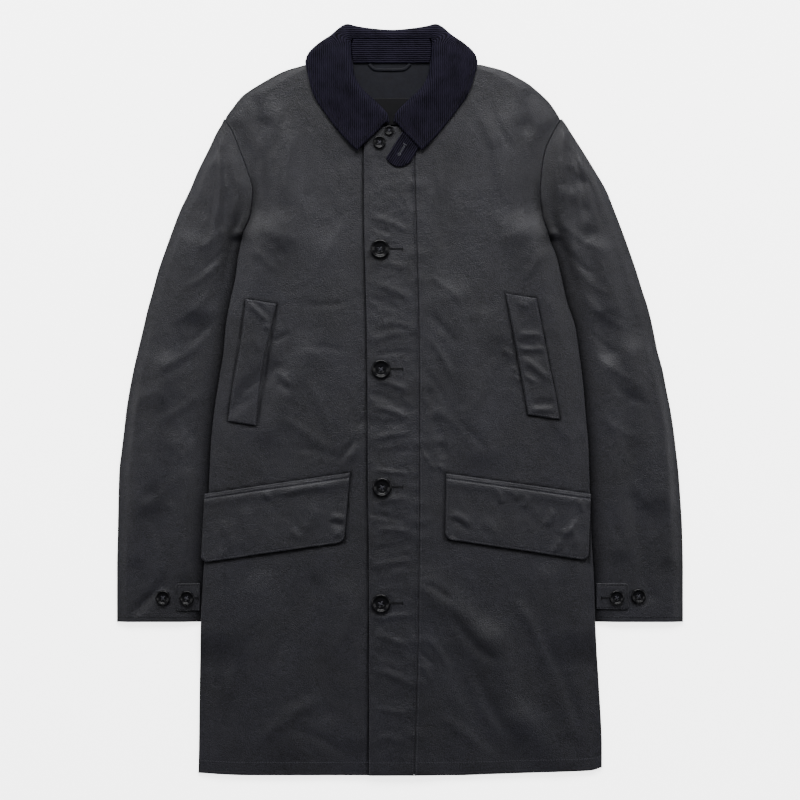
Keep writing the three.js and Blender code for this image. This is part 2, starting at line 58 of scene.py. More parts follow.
# How far the body's sides lie raised, over the tucked sleeves, and where
sideLift = {"height": 5.6, "shelf": 22, "slope": 50, "above": 34, "fadeAbove": 44, "below": 56,
            "fadeBelow": 48}
placketLook = {"cell": 2.4, "lift": 0.25, "crumple": 0.55, "fineness": 1.7, "edge": 6, "leastRise": -0.24}
# The short buckles beside the placket's seam and its free edge, and the beads between stitches
seamLook = {"height": 0.5, "pitch": 11, "reach": 13, "freeHeight": 0.35, "freePitch": 9, "freeReach": 8,
            "bead": 0.5, "beadOff": 1.3, "beadReach": 1.1, "beadPitch": 7.4}
sleeve = {"tuck": 13, "tuckRun": 24, "crown": 3.2, "cell": 2.6, "underCell": 8, "seamGap": 0.15,
          "crumple": 0.5, "crease": 0.75, "leastRise": 0.6, "seamIn": 5, "innerSlope": 24,
          "outerSlope": 16, "meetReach": 9, "meetY": 203, "meetRun": 10}
wall, gap, centreX = body["wall"], body["gap"], body["neckCentreX"]
outward = {"right": -1, "left": 1}

# One seed for each random surface
seeds = {"fronts": 11, "edge": 5, "seam": 21, "free": 23, "placket": 31, "sleeve right": 41,
         "sleeve left": 61, "flap": 71, "welt": 81, "tab": 91, "collar": 101, "stand": 103,
         "lining": 105, "lining seam": 107, "label": 109, "latch": 111}


def columns(names, rows):
    # a table as one array for each named column
    return {name: np.array([row[k] for row in rows], float) for k, name in enumerate(names)}


bodyEdges = columns(["y", "right", "left"], [
    [430, -121, 104], [422, -148, 134], [414, -164, 150], [406, -178, 164], [398, -191, 174],
    [390, -202, 183], [382, -209, 191], [374, -215, 197], [366, -221, 202], [360, -224, 205],
    [346, -216, 198], [322, -206, 187], [298, -197, 182], [268, -189, 180], [236, -192, 183],
    [216, -200, 189], [204, -203, 192], [184, -207, 200], [155, -211, 207], [128, -217, 213],
    [94, -223, 224], [61, -226, 229], [23, -232, 234], [-25, -239, 238], [-58, -242, 241],
    [-122, -245, 243], [-176, -248, 245], [-228, -252, 248], [-285, -255, 250],
    [-363, -257, 255], [-448, -258, 259], [-481, -258.6, 259],
])
sleeveEdges = columns(["y", "right", "left"], [
    [360, -226, 208], [353, -229, 213], [345, -234, 218], [320, -246, 234], [294, -259, 250],
    [268, -270, 265], [243, -282, 275], [217, -292, 285], [192, -301, 294], [166, -310, 303],
    [140, -317, 311], [115, -324, 319], [89, -330, 325], [64, -336, 330], [38, -342, 337],
    [12, -347, 342], [-13, -351, 347], [-39, -354, 351], [-64, -357, 354], [-90, -360, 357],
    [-116, -361, 359], [-167, -362, 362], [-218, -363, 363], [-284.5, -363, 363],
])
neckEdges = columns(["y", "right", "left"], [
    [430, -84, 62], [417, -81, 59], [404, -75, 52], [394, -67, 44], [380, -50, 26],
    [365, -34, 16], [356, -26, 20], [350, -20, 20], [345, 14, 20],
])
placketEdges = columns(["y", "free", "seam"], [
    [350, -44, 18], [316, -46.5, 18.5], [239, -46.5, 20.5], [192, -45.5, 21.8],
    [96, -43, 24.1], [0, -41.8, 24.8], [-64, -41.6, 25], [-256, -39.7, 23.9],
    [-403, -39.7, 20.5], [-481, -39.7, 18],
])
hemLine = columns(["x", "rise"], [
    [-259, 2.8], [-192, 0], [72, 0], [114, 1.4], [205, 4.5], [245, 6], [259, 10],
])

# Folds and creases: from one end to the other, half width, height (troughs below zero) and
# how far the line bows to its left
foldNames = ["x0", "y0", "x1", "y1", "width", "height", "bow"]
bodyFolds = columns(foldNames, [
    # broad folds, also in the solids
    [-186, 384, -175, 350, 9, -1.6, 0], [-175, 350, -184, 240, 10, -1.8, 0],
    [-160, 360, -150, 210, 20, 2.4, 0],
    [165, 390, 161, 350, 9, -1.7, 0], [161, 350, 175, 240, 10, -1.8, 0],
    [138, 350, 132, 90, 26, 2.8, 0], [118, 320, 112, 120, 10, -1.2, 0],
    [70, 128, 104, -62, 22, 2.6, 0], [-90, 190, -70, -60, 24, 2.2, 0],
    [-160, 40, -222, -20, 9, -1.5, 0], [-120, 60, -170, -40, 16, 1.8, 0],
    [38, -243, 115, -308, 18, 2.6, 0], [115, -308, 154, -410, 22, 3, 0],
    [154, -410, 205, -461, 20, 2.2, 0], [70, -330, 110, -440, 14, -1.3, 0],
    [-180, -250, -150, -440, 24, 2.4, 0], [-110, -240, -92, -400, 15, -1.4, 0],
    [-70, -250, -60, -430, 18, 1.8, 0], [190, -230, 215, -420, 18, 1.8, 0],
])
bodyCreases = columns(foldNames, [
    # right chest and side
    [-150, 372, -146, 236, 9, 0.9, 5], [-132, 380, -126, 262, 8, -0.8, 4], [-44, 316, -50, 214, 6, -0.9, 2],
    [-140, 392, -178, 300, 5, -0.9, 6], [-120, 372, -150, 250, 6, 0.8, -8],
    [-100, 360, -118, 230, 7, -0.7, 5], [-72, 318, -84, 190, 8, 0.7, 4],
    [-188, 232, -120, 205, 6, 0.3, -6], [-190, 214, -140, 176, 5, -0.4, 5],
    [-196, 196, -158, 160, 5, 0.8, 4], [-60, 240, -110, 150, 6, 0.6, -5],
    [-56, 128, -130, 122, 4, -0.6, 3], [-60, 60, -140, 66, 4, -0.5, -4],
    [-70, -66, -44, -30, 4, 0.9, 3], [-78, -82, -48, -46, 4, -0.8, 3],
    [-50, 10, -66, -40, 4, -0.6, 2], [-120, 30, -90, -50, 6, 0.7, 4],
    [-210, 60, -180, 20, 5, -0.6, 4], [-160, -20, -90, -70, 6, 0.7, 5],
    [-150, -60, -60, -80, 5, -0.5, 4],
    # left chest and side
    [132, 372, 140, 246, 9, 0.9, -5], [74, 330, 60, 150, 8, -0.9, -6], [48, 326, 44, 240, 7, 0.8, 3],
    [112, 392, 152, 310, 5, -0.8, -6], [96, 380, 126, 260, 6, 0.8, 8],
    [60, 340, 78, 220, 8, 0.7, -4], [40, 300, 52, 190, 6, -0.6, 3],
    [182, 236, 120, 204, 6, 0.3, 6], [186, 218, 140, 170, 5, -0.4, -5],
    [192, 196, 160, 150, 5, 0.8, -4], [34, 160, 84, 120, 5, 0.7, 4],
    [30, 112, 78, 60, 5, -0.7, 5], [32, 84, 70, 22, 4, 0.7, 4], [30, 40, 60, -10, 4, -0.7, 3],
    [28, 6, 90, -40, 5, 0.7, -4], [120, 60, 80, -30, 6, 0.6, 5], [200, 80, 150, 60, 4, -0.5, 3],
    [60, -20, 120, -76, 5, -0.6, 4], [170, 0, 220, -60, 6, 0.7, 4],
    # beside the pockets and in front of the armholes
    [-160, 40, -142, 16, 4, 1.1, 2], [-159, 23, -140, 9, 4, -0.9, 2], [-166, 74, -140, 90, 4, -0.9, -3],
    [-200, 132, -194, 118, 3, 0.8, 0], [128, 67, 145, 51, 4, 1.1, 2], [142, 43, 153, 31, 2.6, 0.9, 1],
    [143, 32, 157, 21, 2.6, 0.8, 1], [-181, 367, -180, 327, 5, -0.9, 0], [-180, 330, -182, 250, 5, -1.0, 3],
    [-183, 252, -194, 222, 4, -0.9, 3], [-192, 300, -188, 246, 4, 0.8, 2],
    [179, 340, 180, 300, 5, -1.1, 0], [186, 330, 192, 262, 4, 0.8, -2],
    # drawn in beside the placket, above the flaps
    [-44, -16, -74, -78, 5, -1.3, 2], [-46, -24, -70, -84, 3.5, 1.3, 2], [38, 18, 44, -19, 6, -1.2, 0],
    [44, -19, 51, -53, 6, -1.2, 0], [51, -53, 58, -76, 6, -1.1, 0], [30, -67, 37, -80, 2.5, 1.2, 0],
    [37, -80, 45, -89, 2.5, 1.2, 0], [47, -81, 58, -91, 2.5, 1.1, 0],
    # skirt
    [26, -232, 70, -262, 5, -1.2, 3], [30, -300, 66, -352, 5, 0.9, 4],
    [24, -322, 44, -342, 3, -1.0, 1], [26, -336, 40, -362, 3, 0.9, 1],
    [60, -262, 130, -340, 7, -1.7, -8], [92, -330, 150, -440, 8, -1.5, -8],
    [140, -250, 190, -360, 8, 1.4, 10], [180, -300, 232, -440, 8, -1.2, 8],
    [40, -400, 120, -462, 7, 0.8, 5], [-52, -240, -88, -330, 6, 0.8, 5],
    [-60, -300, -50, -420, 5, -0.7, -4], [-130, -230, -170, -350, 8, -0.8, 8],
    [-200, -240, -226, -400, 9, 1.2, 6], [-100, -380, -190, -450, 8, 1.1, -6],
    [-140, -420, -60, -462, 6, -0.6, 5], [-240, -330, -220, -450, 6, -0.7, 3],
])
placketPuckers = columns(foldNames, [
    [-44, 236, 14, 214, 4, 0.9, 3], [-40, 222, 4, 204, 3, -0.7, 2], [-40, 176, 16, 168, 4, 0.6, 2],
    [-36, 150, 18, 126, 5, 0.9, 3], [-42, 132, 2, 112, 4, -0.7, 2], [-30, 100, 20, 92, 4, 0.7, 2],
    [-42, 70, 8, 88, 4, 0.7, 3], [-36, 56, 14, 62, 3, -0.6, 1], [-34, 26, 16, 8, 4, 1.0, 3],
    [-42, 8, 8, -12, 4, -0.9, 3], [-38, -8, 16, -26, 4, 1.1, 3], [-42, -34, 6, -30, 3, -0.8, 2],
    [-40, -52, 18, -42, 4, 0.9, 2], [-36, -74, 12, -66, 4, -0.8, 2], [-36, -90, 16, -96, 3, 0.9, 1],
    [-34, -132, 16, -126, 4, 0.9, 2], [-40, -146, 12, -158, 4, -0.8, 2],
    [-36, -166, 18, -172, 4, 0.8, 3], [-40, -196, 14, -186, 4, -0.6, 2],
    [-38, -214, 16, -206, 4, 0.8, 2], [-34, -238, 10, -230, 4, -0.7, 2],
    [-36, -282, 18, -276, 4, 0.9, 2], [-38, -300, 14, -318, 5, 1.0, 3],
    [-36, -322, 10, -336, 4, -0.9, 2], [-34, -346, 18, -366, 5, 1.1, 3],
    [-38, -372, 8, -384, 4, -0.8, 2], [-34, -396, 14, -404, 4, 0.7, 2],
    [-36, -430, 12, -440, 5, 0.6, 2],
])
sleeveFolds = {
    "right": columns(foldNames, [
        [-219, 333, -223, 225, 8, -1.5, 0], [-223, 225, -236, 129, 9, -1.6, 0],
        [-240, 300, -262, 120, 17, 3, 0], [-270, 200, -310, 10, 16, 2.6, 0],
        [-255, 90, -268, -80, 12, -1.4, 0], [-300, 40, -322, -130, 18, 3.2, 0],
        [-280, -60, -272, -220, 15, 2.4, 0], [-335, 0, -340, -200, 12, 1.8, 0],
        [-335, -270, -306, -238, 7, -1.5, 0], [-318, -120, -300, -240, 9, -1.3, 0],
    ]),
    "left": columns(foldNames, [
        [219, 333, 233, 278, 8, -1.6, 0], [233, 278, 244, 212, 9, -1.6, 0],
        [203, 336, 210, 268, 12, 1.6, 0], [240, 300, 262, 120, 17, 3.2, 0],
        [262, 190, 300, 20, 14, 2.6, 0], [244, 212, 262, 60, 9, -1.5, 0],
        [300, 60, 326, -120, 18, 3.1, 0], [270, 40, 284, -190, 13, 2.4, 0],
        [340, 20, 346, -200, 12, 1.8, 0], [300, -130, 318, -250, 9, -1.3, 0],
    ]),
}
sleeveCreases = {
    "right": columns(foldNames, [
        [-229, 330, -223, 276, 5, -1.6, 0], [-223, 276, -223, 192, 5, -1.9, 0],
        [-238, 322, -246, 200, 4, -1.2, 3], [-231, 326, -234, 214, 4, 1.2, 2],
        [-214, 336, -205, 262, 4, 0.8, -3], [-210, 264, -214, 228, 4, 0.9, 2],
        [-232, 280, -250, 180, 5, 0.8, 5], [-214, 232, -268, 190, 5, 1.0, 5],
        [-212, 214, -262, 160, 4, -1.0, 6], [-222, 190, -280, 140, 5, 0.9, 6],
        [-236, 150, -296, 96, 5, 0.9, 7], [-228, 120, -280, 66, 4, -0.9, 6],
        [-240, 96, -310, 40, 5, 0.8, 8], [-262, 60, -330, 22, 5, -0.7, 6],
        [-250, 20, -320, -30, 6, 0.8, 8], [-246, -20, -300, -70, 5, -0.7, 6],
        [-330, 60, -346, -40, 5, 0.8, 4], [-280, -90, -336, -140, 6, 0.7, 6],
        [-262, -110, -290, -200, 5, -0.7, 5], [-330, -150, -300, -230, 5, 0.8, 5],
        [-352, -120, -344, -230, 4, -0.7, 2], [-276, -200, -262, -262, 4, 0.7, 3],
        [-340, -272, -310, -244, 3, -1.0, 2],
    ]),
    "left": columns(foldNames, [
        [206, 352, 218, 319, 3, 1.3, -1], [217, 321, 229, 282, 3, 1.4, -1],
        [228, 284, 240, 244, 3.4, 1.3, -1], [240, 246, 249, 190, 4, 1.1, -1],
        [212, 340, 226, 296, 3, -1.3, -1], [214, 302, 222, 262, 6, -1.6, -1],
        [236, 316, 262, 214, 4, -1.2, -3], [230, 322, 250, 224, 4, 1.1, -2],
        [222, 264, 224, 190, 6, -1.8, 0], [205, 312, 211, 276, 3.4, 0.9, -1],
        [211, 277, 213, 238, 3.4, 0.9, 0],
        [200, 300, 204, 262, 3.4, 0.8, -1],
        [224, 300, 244, 200, 5, 0.8, -5], [206, 230, 262, 190, 5, 1.0, -5],
        [204, 206, 256, 156, 4, -1.0, -6], [214, 184, 276, 130, 5, 0.9, -6],
        [230, 140, 296, 90, 5, 0.9, -7], [232, 104, 290, 52, 4, -0.8, -6],
        [244, 70, 312, 20, 5, 0.9, -8], [262, 30, 330, -10, 5, -0.7, -6],
        [250, -10, 316, -50, 6, 0.8, -8], [328, 60, 346, -50, 5, 0.8, -4],
        [286, -80, 336, -150, 6, 0.7, -6], [262, -120, 296, -200, 5, -0.8, -5],
        [330, -160, 312, -236, 5, 0.8, -5], [352, -110, 350, -240, 4, -0.7, -2],
        [270, -206, 264, -262, 4, 0.6, -3],
    ]),
}

# Pockets on the fronts. A welt's rows run from its top to its bottom; a flap has a top and a
# bottom line, and its two lower corners are rounded
weltNames = ["y", "outer", "inner"]
welts = {
    "right": columns(weltNames, [
        [129, -197, -158], [90, -201, -167], [48, -208, -176], [8, -215, -181], [-27, -220, -184]]),
    "left": columns(weltNames, [
        [130, 174, 135], [90, 182, 143], [48, 190, 151], [10, 198, 158], [-25, 204, 164]]),
}
weltSlant = {"right": 6, "left": -6}
flaps = {
    "right": {"top": [(-250, -120), (-64, -93)], "bottom": [(-254, -208), (-71, -182)]},
    "left": {"top": [(59, -94), (244, -120)], "bottom": [(58, -178), (241, -205)]},
}
flapLook = {"corner": 9, "seamDown": 6.4, "groove": 0.55, "lift": 0.9, "cell": 2.4, "stitchIn": 2.4,
            "crease": 1.5, "crumple": 0.4}
weltLook = {"cell": 2.4, "stitchIn": 2.2, "crease": 1.2, "crumple": 0.3}
flapCreases = {
    "right": columns(foldNames, [
        [-162, -122, -76, -108, 5, 0.7, 2], [-90, -150, -68, -155, 4, 0.9, 2],
        [-92, -158, -70, -163, 3.5, -0.8, 2], [-141, -164, -126, -182, 4, 0.6, 1],
        [-176, -117, -166, -129, 4, 0.8, 1], [-230, -150, -215, -200, 6, 0.5, 4],
        [-110, -130, -120, -170, 7, 0.5, 3], [-86, -176, -74, -168, 4, 0.6, 1],
        [-204, -130, -196, -196, 9, 0.5, 5],
    ]),
    "left": columns(foldNames, [
        [127, -115, 130, -134, 3, 0.9, 0], [150, -117, 148, -130, 3, 0.7, 0],
        [163, -120, 158, -140, 3.5, 0.9, 1], [196, -138, 184, -163, 4, 0.8, 2],
        [228, -150, 205, -174, 4, 1.1, 3], [205, -174, 194, -197, 4, 0.8, 2],
        [230, -126, 234, -145, 3.5, 0.9, 0], [62, -145, 92, -163, 5, 0.9, 3],
        [66, -153, 88, -169, 4, -0.7, 2], [100, -150, 130, -185, 8, 0.5, 5],
        [62, -176, 74, -184, 4, 0.7, 1], [216, -160, 226, -190, 5, 0.5, 2],
    ]),
}
weltCreases = {
    "right": columns(foldNames, [
        [-195, 124, -168, 97, 3.6, 1.2, 2], [-187, 126, -166, 102, 3, -0.7, 1],
        [-174, 98, -165, 88, 2.8, 0.8, 0], [-169, 44, -221, -3, 5.5, -1.1, 3],
        [-176, 26, -206, 2, 6, 0.7, 2], [-190, 82, -178, 60, 6, 0.4, 2],
    ]),
    "left": columns(foldNames, [
        [149, 83, 184, 82, 4, 1.0, 1], [147, 76, 176, 68, 2.8, -0.8, -1],
        [150, 64, 187, 65, 3.2, 0.9, 1], [156, 56, 186, 58, 2.8, -0.7, 0],
        [155, 55, 193, 22, 4.2, 1.2, 2], [160, 41, 177, 25, 3.4, -0.9, 1],
        [159, 32, 174, 22, 3, 0.7, 0], [164, -5, 200, -4, 4, -0.9, 0],
        [165, -13, 200, -12, 4, 1.0, 0], [146, 124, 168, 118, 4, 0.6, 1],
    ]),
}
cuffTabs = {
    "right": {"inner": -256.4, "outer": -287.4, "top": -234.6, "bottom": -270},
    "left": {"inner": 251.6, "outer": 292.6, "top": -234.6, "bottom": -268},
}
tabLook = {"thickness": 1.6, "corner": 5, "cell": 1.6, "stitchIn": 2.2, "crumple": 0.25}
frontButtons = [(-25.6, 193), (-24.3, 39.4), (-23, -111.7), (-24.3, -260.2)]


def smoothCurve(table, key, column, at):
    # a monotone cubic through one column of a table, with no overshoot between its rows
    order = np.argsort(table[key])
    knots, values = table[key][order], table[column][order]
    step = np.diff(knots)
    rate = np.diff(values) / step
    both = rate[:-1] + rate[1:]
    slope = np.zeros(len(knots))
    same = rate[:-1] * rate[1:] > 0
    slope[1:-1] = np.where(same, 2 * rate[:-1] * rate[1:] / np.where(same, both, 1), 0)
    slope[0], slope[-1] = rate[0], rate[-1]
    at = np.clip(at, knots[0], knots[-1])
    k = np.clip(np.searchsorted(knots, at) - 1, 0, len(step) - 1)
    t = (at - knots[k]) / step[k]
    a = (1 + 2 * t) * (1 - t) ** 2 * values[k] + t * (1 - t) ** 2 * step[k] * slope[k]
    b = t * t * (3 - 2 * t) * values[k + 1] + t * t * (t - 1) * step[k] * slope[k + 1]
    return a + b


def smoothStep(t):
    t = np.clip(t, 0, 1)
    return t * t * (3 - 2 * t)


def mix(a, b, t):
    return a + (b - a) * t


def bodyEdge(side, y):
    return smoothCurve(bodyEdges, "y", side, y)


def placketX(edge, y):
    return smoothCurve(placketEdges, "y", edge, y)


def foldHeight(folds, x, y, taper):
    # taper is the share of a fold's length over which each end dies away; 0 rounds it off
    height = np.zeros(np.shape(x))
    for x0, y0, x1, y1, width, high, bow in zip(*(folds[name] for name in foldNames)):
        dx, dy = x1 - x0, y1 - y0
        length = math.hypot(dx, dy)
        t = ((x - x0) * dx + (y - y0) * dy) / length ** 2
        held = np.clip(t, 0, 1)
        lineX = x0 + dx * held - dy / length * bow * 4 * held * (1 - held)
        lineY = y0 + dy * held + dx / length * bow * 4 * held * (1 - held)
        away = np.hypot(x - lineX, y - lineY)
        ends = smoothStep(held / taper) * smoothStep((1 - held) / taper) if taper else 1
        height += high * ends * np.exp(-(away / width) ** 2)
    return height


def crumple(x, y, scaleX, scaleY, seed):
    # smooth random heights from -1 to 1 on a lattice whose cells are scaleX by scaleY
    lattice = np.random.default_rng(seed).uniform(-1, 1, (64, 64))
    u, v = x / scaleX + 1000, y / scaleY + 1000
    i, j = np.floor(u).astype(int), np.floor(v).astype(int)
    s, t = u - i, v - j
    s, t = s * s * (3 - 2 * s), t * t * (3 - 2 * t)
    low = mix(lattice[i % 64, j % 64], lattice[(i + 1) % 64, j % 64], s)
    high = mix(lattice[i % 64, (j + 1) % 64], lattice[(i + 1) % 64, (j + 1) % 64], s)
    return mix(low, high, t)


def clothCrumple(x, y, seed):
    # stiff waxed cloth: broad soft buckles with finer, sharper ones on them
    turn = 0.5
    a = x * math.cos(turn) + y * math.sin(turn)
    b = y * math.cos(turn) - x * math.sin(turn)
    sharp = 1 - 2 * np.abs(crumple(a, b, 21, 34, seed + 1))
    finer = 1 - 2 * np.abs(crumple(b, a, 11, 15, seed + 2))
    return 0.75 * crumple(x, y, 40, 90, seed) + 0.36 * sharp + 0.24 * finer


def insideBody(x, y):
    return np.minimum(x - bodyEdge("right", y), bodyEdge("left", y) - x)


def insideQuad(x, y, corners):
    # distance inside a convex outline whose corners run anticlockwise; negative outside it
    inside = np.full(np.shape(x), 1e3)
    for (x0, y0), (x1, y1) in zip(corners, corners[1:] + corners[:1]):
        length = math.hypot(x1 - x0, y1 - y0)
        inside = np.minimum(inside, ((x1 - x0) * (y - y0) - (y1 - y0) * (x - x0)) / length)
    return inside


def flapCorners(side):
    return [*flaps[side]["bottom"], *flaps[side]["top"][::-1]]


def pocketCorners():
    outlines = [flapCorners(side) for side in flaps]
    for side, rows in welts.items():
        drop = weltSlant[side]
        ends = {k: [(rows["outer"][k], rows["y"][k]), (rows["inner"][k], rows["y"][k] - drop)]
                for k in (0, -1)}
        order = -outward[side]
        outlines.append([*ends[-1][::order], *ends[0][::-order]])
    return outlines


def covered(x, y):
    # 1 where a flap or a welt lies on a front, so that its finer creases die away there
    share = np.zeros(np.shape(x))
    for corners in pocketCorners():
        share = np.maximum(share, smoothStep((insideQuad(x, y, corners) + 1) / 7))
    return share


def backLift(x, y):
    above = smoothStep((body["armpitY"] + sideLift["above"] - y) / sideLift["fadeAbove"])
    below = smoothStep((y - (body["cuffY"] - sideLift["below"])) / sideLift["fadeBelow"])
    across = 1 - smoothStep((insideBody(x, y) - sideLift["shelf"]) / sideLift["slope"])
    return sideLift["height"] * above * below * across


def nearLine(distance, reach):
    return np.exp(-(distance / reach) ** 2)


def seamPucker(x, lineX, y, pitch, reach, seed):
    # the short buckles that a line of sewing draws up beside it
    along = crumple(y, np.full(np.shape(y), 7.3), pitch, 50, seed)
    return along * np.exp(-(np.abs(x - lineX) / reach) ** 1.5)


def placketBuckles(x, y):
    seam = placketX("seam", y)
    return seamLook["height"] * seamPucker(x, seam, y, seamLook["pitch"], seamLook["reach"], seeds["seam"])


def frontTop(x, y):
    # the upper face of a front: it lies on the back at its side and rises off it further in
    lowest = backLift(x, y) + 2 * wall + gap
    inside = insideBody(x, y)
    opened = smoothStep(inside / body["closing"])
    nearNeck = 1 - smoothStep((np.abs(x - centreX) - neckRise["half"]) / neckRise["fade"])
    nearNeck = nearNeck * smoothStep((y - neckRise["fromY"]) / neckRise["run"])
    finer = foldHeight(bodyCreases, x, y, 0.3) + body["crumple"] * clothCrumple(x, y, seeds["fronts"])
    finer = finer * (1 - body["pocketCalm"] * covered(x, y))
    rise = body["hollow"] + neckRise["height"] * nearNeck + foldHeight(bodyFolds, x, y, 0) + finer
    edgeWave = body["edgeWave"] * smoothStep(inside / 4) * crumple(x, y, 30, 19, seeds["edge"])
    return lowest + opened * np.maximum(rise, body["leastRise"]) + edgeWave * (1 - opened)


def leftFrontTop(x, y):
    # the left front lies over the right one by the placket, beaded between the stitches there
    seam = placketX("seam", y)
    lap = 1 - smoothStep((x - seam) / body["lapSlope"])
    bead = seamLook["bead"] * nearLine(x - seam - seamLook["beadOff"], seamLook["beadReach"])
    bead = bead * np.cos(2 * math.pi * y / seamLook["beadPitch"])
    return frontTop(x, y) + (wall + gap) * lap + placketBuckles(x, y) + bead


def sideTop(side, x, y):
    return frontTop(x, y) if side == "right" else leftFrontTop(x, y)


def placketTop(x, y):
    free = placketX("free", y)
    finer = clothCrumple(x * placketLook["fineness"], y * placketLook["fineness"], seeds["placket"])
    puckers = foldHeight(placketPuckers, x, y, 0.3) + placketLook["crumple"] * finer
    puckers = smoothStep((x - free) / placketLook["edge"]) * np.maximum(puckers, placketLook["leastRise"])
    height = frontTop(x, y) + wall + gap + placketLook["lift"] + puckers
    atFree = seamPucker(x, free, y, seamLook["freePitch"], seamLook["freeReach"], seeds["free"])
    return height + placketBuckles(x, y) + seamLook["freeHeight"] * atFree


def sleeveTop(side, x, y):
    # the upper face of a sleeve: flat along its edges and full between them
    out = outward[side]
    fromBody = out * (x - bodyEdge(side, y)) - np.where(y < body["armpitY"], sleeve["seamIn"], 0)
    fromOuter = out * (smoothCurve(sleeveEdges, "y", side, y) - x)
    room = smoothStep(fromBody / sleeve["innerSlope"]) * smoothStep(fromOuter / sleeve["outerSlope"])
    rise = sleeve["crown"] + foldHeight(sleeveFolds[side], x, y, 0)
    rise = rise + sleeve["crease"] * foldHeight(sleeveCreases[side], x, y, 0.3)
    rise = rise + sleeve["crumple"] * clothCrumple(x, y, seeds[f"sleeve {side}"])
    # at the armpit the sleeve's edge rises to meet the body's side
    meets = backLift(bodyEdge(side, y), y) * nearLine(np.maximum(fromBody, 0), sleeve["meetReach"])
    meets = meets * smoothStep((y - sleeve["meetY"]) / sleeve["meetRun"])
    return 2 * wall + gap + room * np.maximum(rise, sleeve["leastRise"]) + meets


# Meshes. The rows of a cloth edge lie close together where it rolls down
rowEdge = (0, 0.3, 0.8, 1.5, 2.4, 3.6, 5.2, 7.2)


def edgeSpacing(length, cell, fine=rowEdge):
    # distances along a length: close together by both edges, then one cell apart
    middle = max(int(round((length - 2 * fine[-1]) / cell)), 1)
    inner = np.linspace(fine[-1], length - fine[-1], middle + 1)
    return np.concatenate([fine[:-1], inner, length - np.array(fine[:-1])[::-1]])


def rounded(distance, thickness):
    # how far a cloth edge has rolled down at some distance in from it
    reach = thickness * 0.6
    t = np.clip(1 - distance / reach, 0, 1)
    return thickness * 0.45 * (1 - np.sqrt(np.clip(1 - t * t, 0, 1)))


def addObject(name, data):
    thing = bpy.data.objects.new(name, data)
    bpy.context.scene.collection.objects.link(thing)
    return thing


def newMesh(name, points, faces, uvs):
    mesh = bpy.data.meshes.new(name)
    mesh.from_pydata((points * mm).tolist(), [], faces.tolist())
    layer = mesh.uv_layers.new(name="cloth")
    loops = np.empty(len(mesh.loops), int)
    mesh.loops.foreach_get("vertex_index", loops)
    layer.data.foreach_set("uv", (uvs[loops] * mm).ravel())
    mesh.validate()
    mesh.shade_smooth()
    return addObject(name, mesh)


def wallFaces(rows, cols):
    # quads of a closed wall: upper grid, lower grid, and the rim between them
    a = (np.arange(rows - 1)[:, None] * cols + np.arange(cols - 1)[None, :]).ravel()
    below = rows * cols
    upper = np.stack([a, a + cols, a + cols + 1, a + 1], 1)
    lower = np.stack([a, a + 1, a + cols + 1, a + cols], 1) + below
    rim = np.concatenate([np.arange(cols - 1), np.arange(rows - 1) * cols + cols - 1,
                          (rows - 1) * cols + np.arange(cols - 1, 0, -1),
                          np.arange(rows - 1, 0, -1) * cols])
    after = np.roll(rim, -1)
    side = np.stack([rim, after, after + below, rim + below], 1)
    return np.concatenate([upper, lower, side])


def wallPiece(name, x, y, upper, lower):
    rows, cols = x.shape
    points = np.concatenate([np.stack([x, y, upper], 2).reshape(-1, 3),
                             np.stack([x, y, lower], 2).reshape(-1, 3)])
    faces = wallFaces(rows, cols)
    # turned over where the columns go right and the rows up, or left and down
    if (x[0, -1] > x[0, 0]) == (y[-1, 0] > y[0, 0]):
        faces = faces[:, ::-1]
    return newMesh(name, points, faces, points[:, :2])


def planArea(x, y):
    # area of a plan grid, in square metres
    ring = np.concatenate([np.stack([x[0], y[0]], 1), np.stack([x[1:, -1], y[1:, -1]], 1),
                           np.stack([x[-1, -2::-1], y[-1, -2::-1]], 1),
                           np.stack([x[-2:0:-1, 0], y[-2:0:-1, 0]], 1)])
    nextOne = np.roll(ring, -1, 0)
    return abs(np.sum(ring[:, 0] * nextOne[:, 1] - nextOne[:, 0] * ring[:, 1])) / 2 * mm * mm


# Painted shade: the cloth's colour is darkened in the hollows and along the edges, where shadow falls
paintedShadeLook = {"placket": 0.9, "pocket": 0.75, "armhole": 0.6, "sleeve": 0.9, "seam": 0.5}


def frontPaintedShade(x, y):
    # painted shadow beside the placket's free edge and round the pockets' edges, and painted shade in the
    # hollow by the armholes
    free = np.where(y < body["placketY"] + 2, placketX("free", y), 1e3)
    shade = paintedShadeLook["placket"] * nearLine(x - free + 0.6, 2.0) * (x < free + 3)
    for corners in pocketCorners():
        shade = np.maximum(shade, paintedShadeLook["pocket"] * nearLine(insideQuad(x, y, corners) + 0.8, 1.7))
    hollow = paintedShadeLook["armhole"] * nearLine(insideBody(x, y), 7) * smoothStep((y - 196) / 12)
    return np.maximum(shade, hollow * smoothStep((300 - y) / 40))


def sleevePaintedShade(side, x, y):
    # painted shadow next to the body's edge, most in the armpit
    fromBody = outward[side] * (x - bodyEdge(side, y))
    beside = paintedShadeLook["sleeve"] * np.exp(-(np.maximum(fromBody, 0) / 10) ** 1.5)
    beside = beside * smoothStep((275 - y) / 50)
    hollow = paintedShadeLook["armhole"] * nearLine(fromBody - 16, 9) * nearLine(y - 205, 62)
    return np.clip(np.maximum(beside, hollow), 0, 1)


def placketPaintedShade(x, y):
    # painted shade in both rows of holes beside the seam
    return paintedShadeLook["seam"] * nearLine(placketX("seam", y) - 2.6 - x, 0.9)


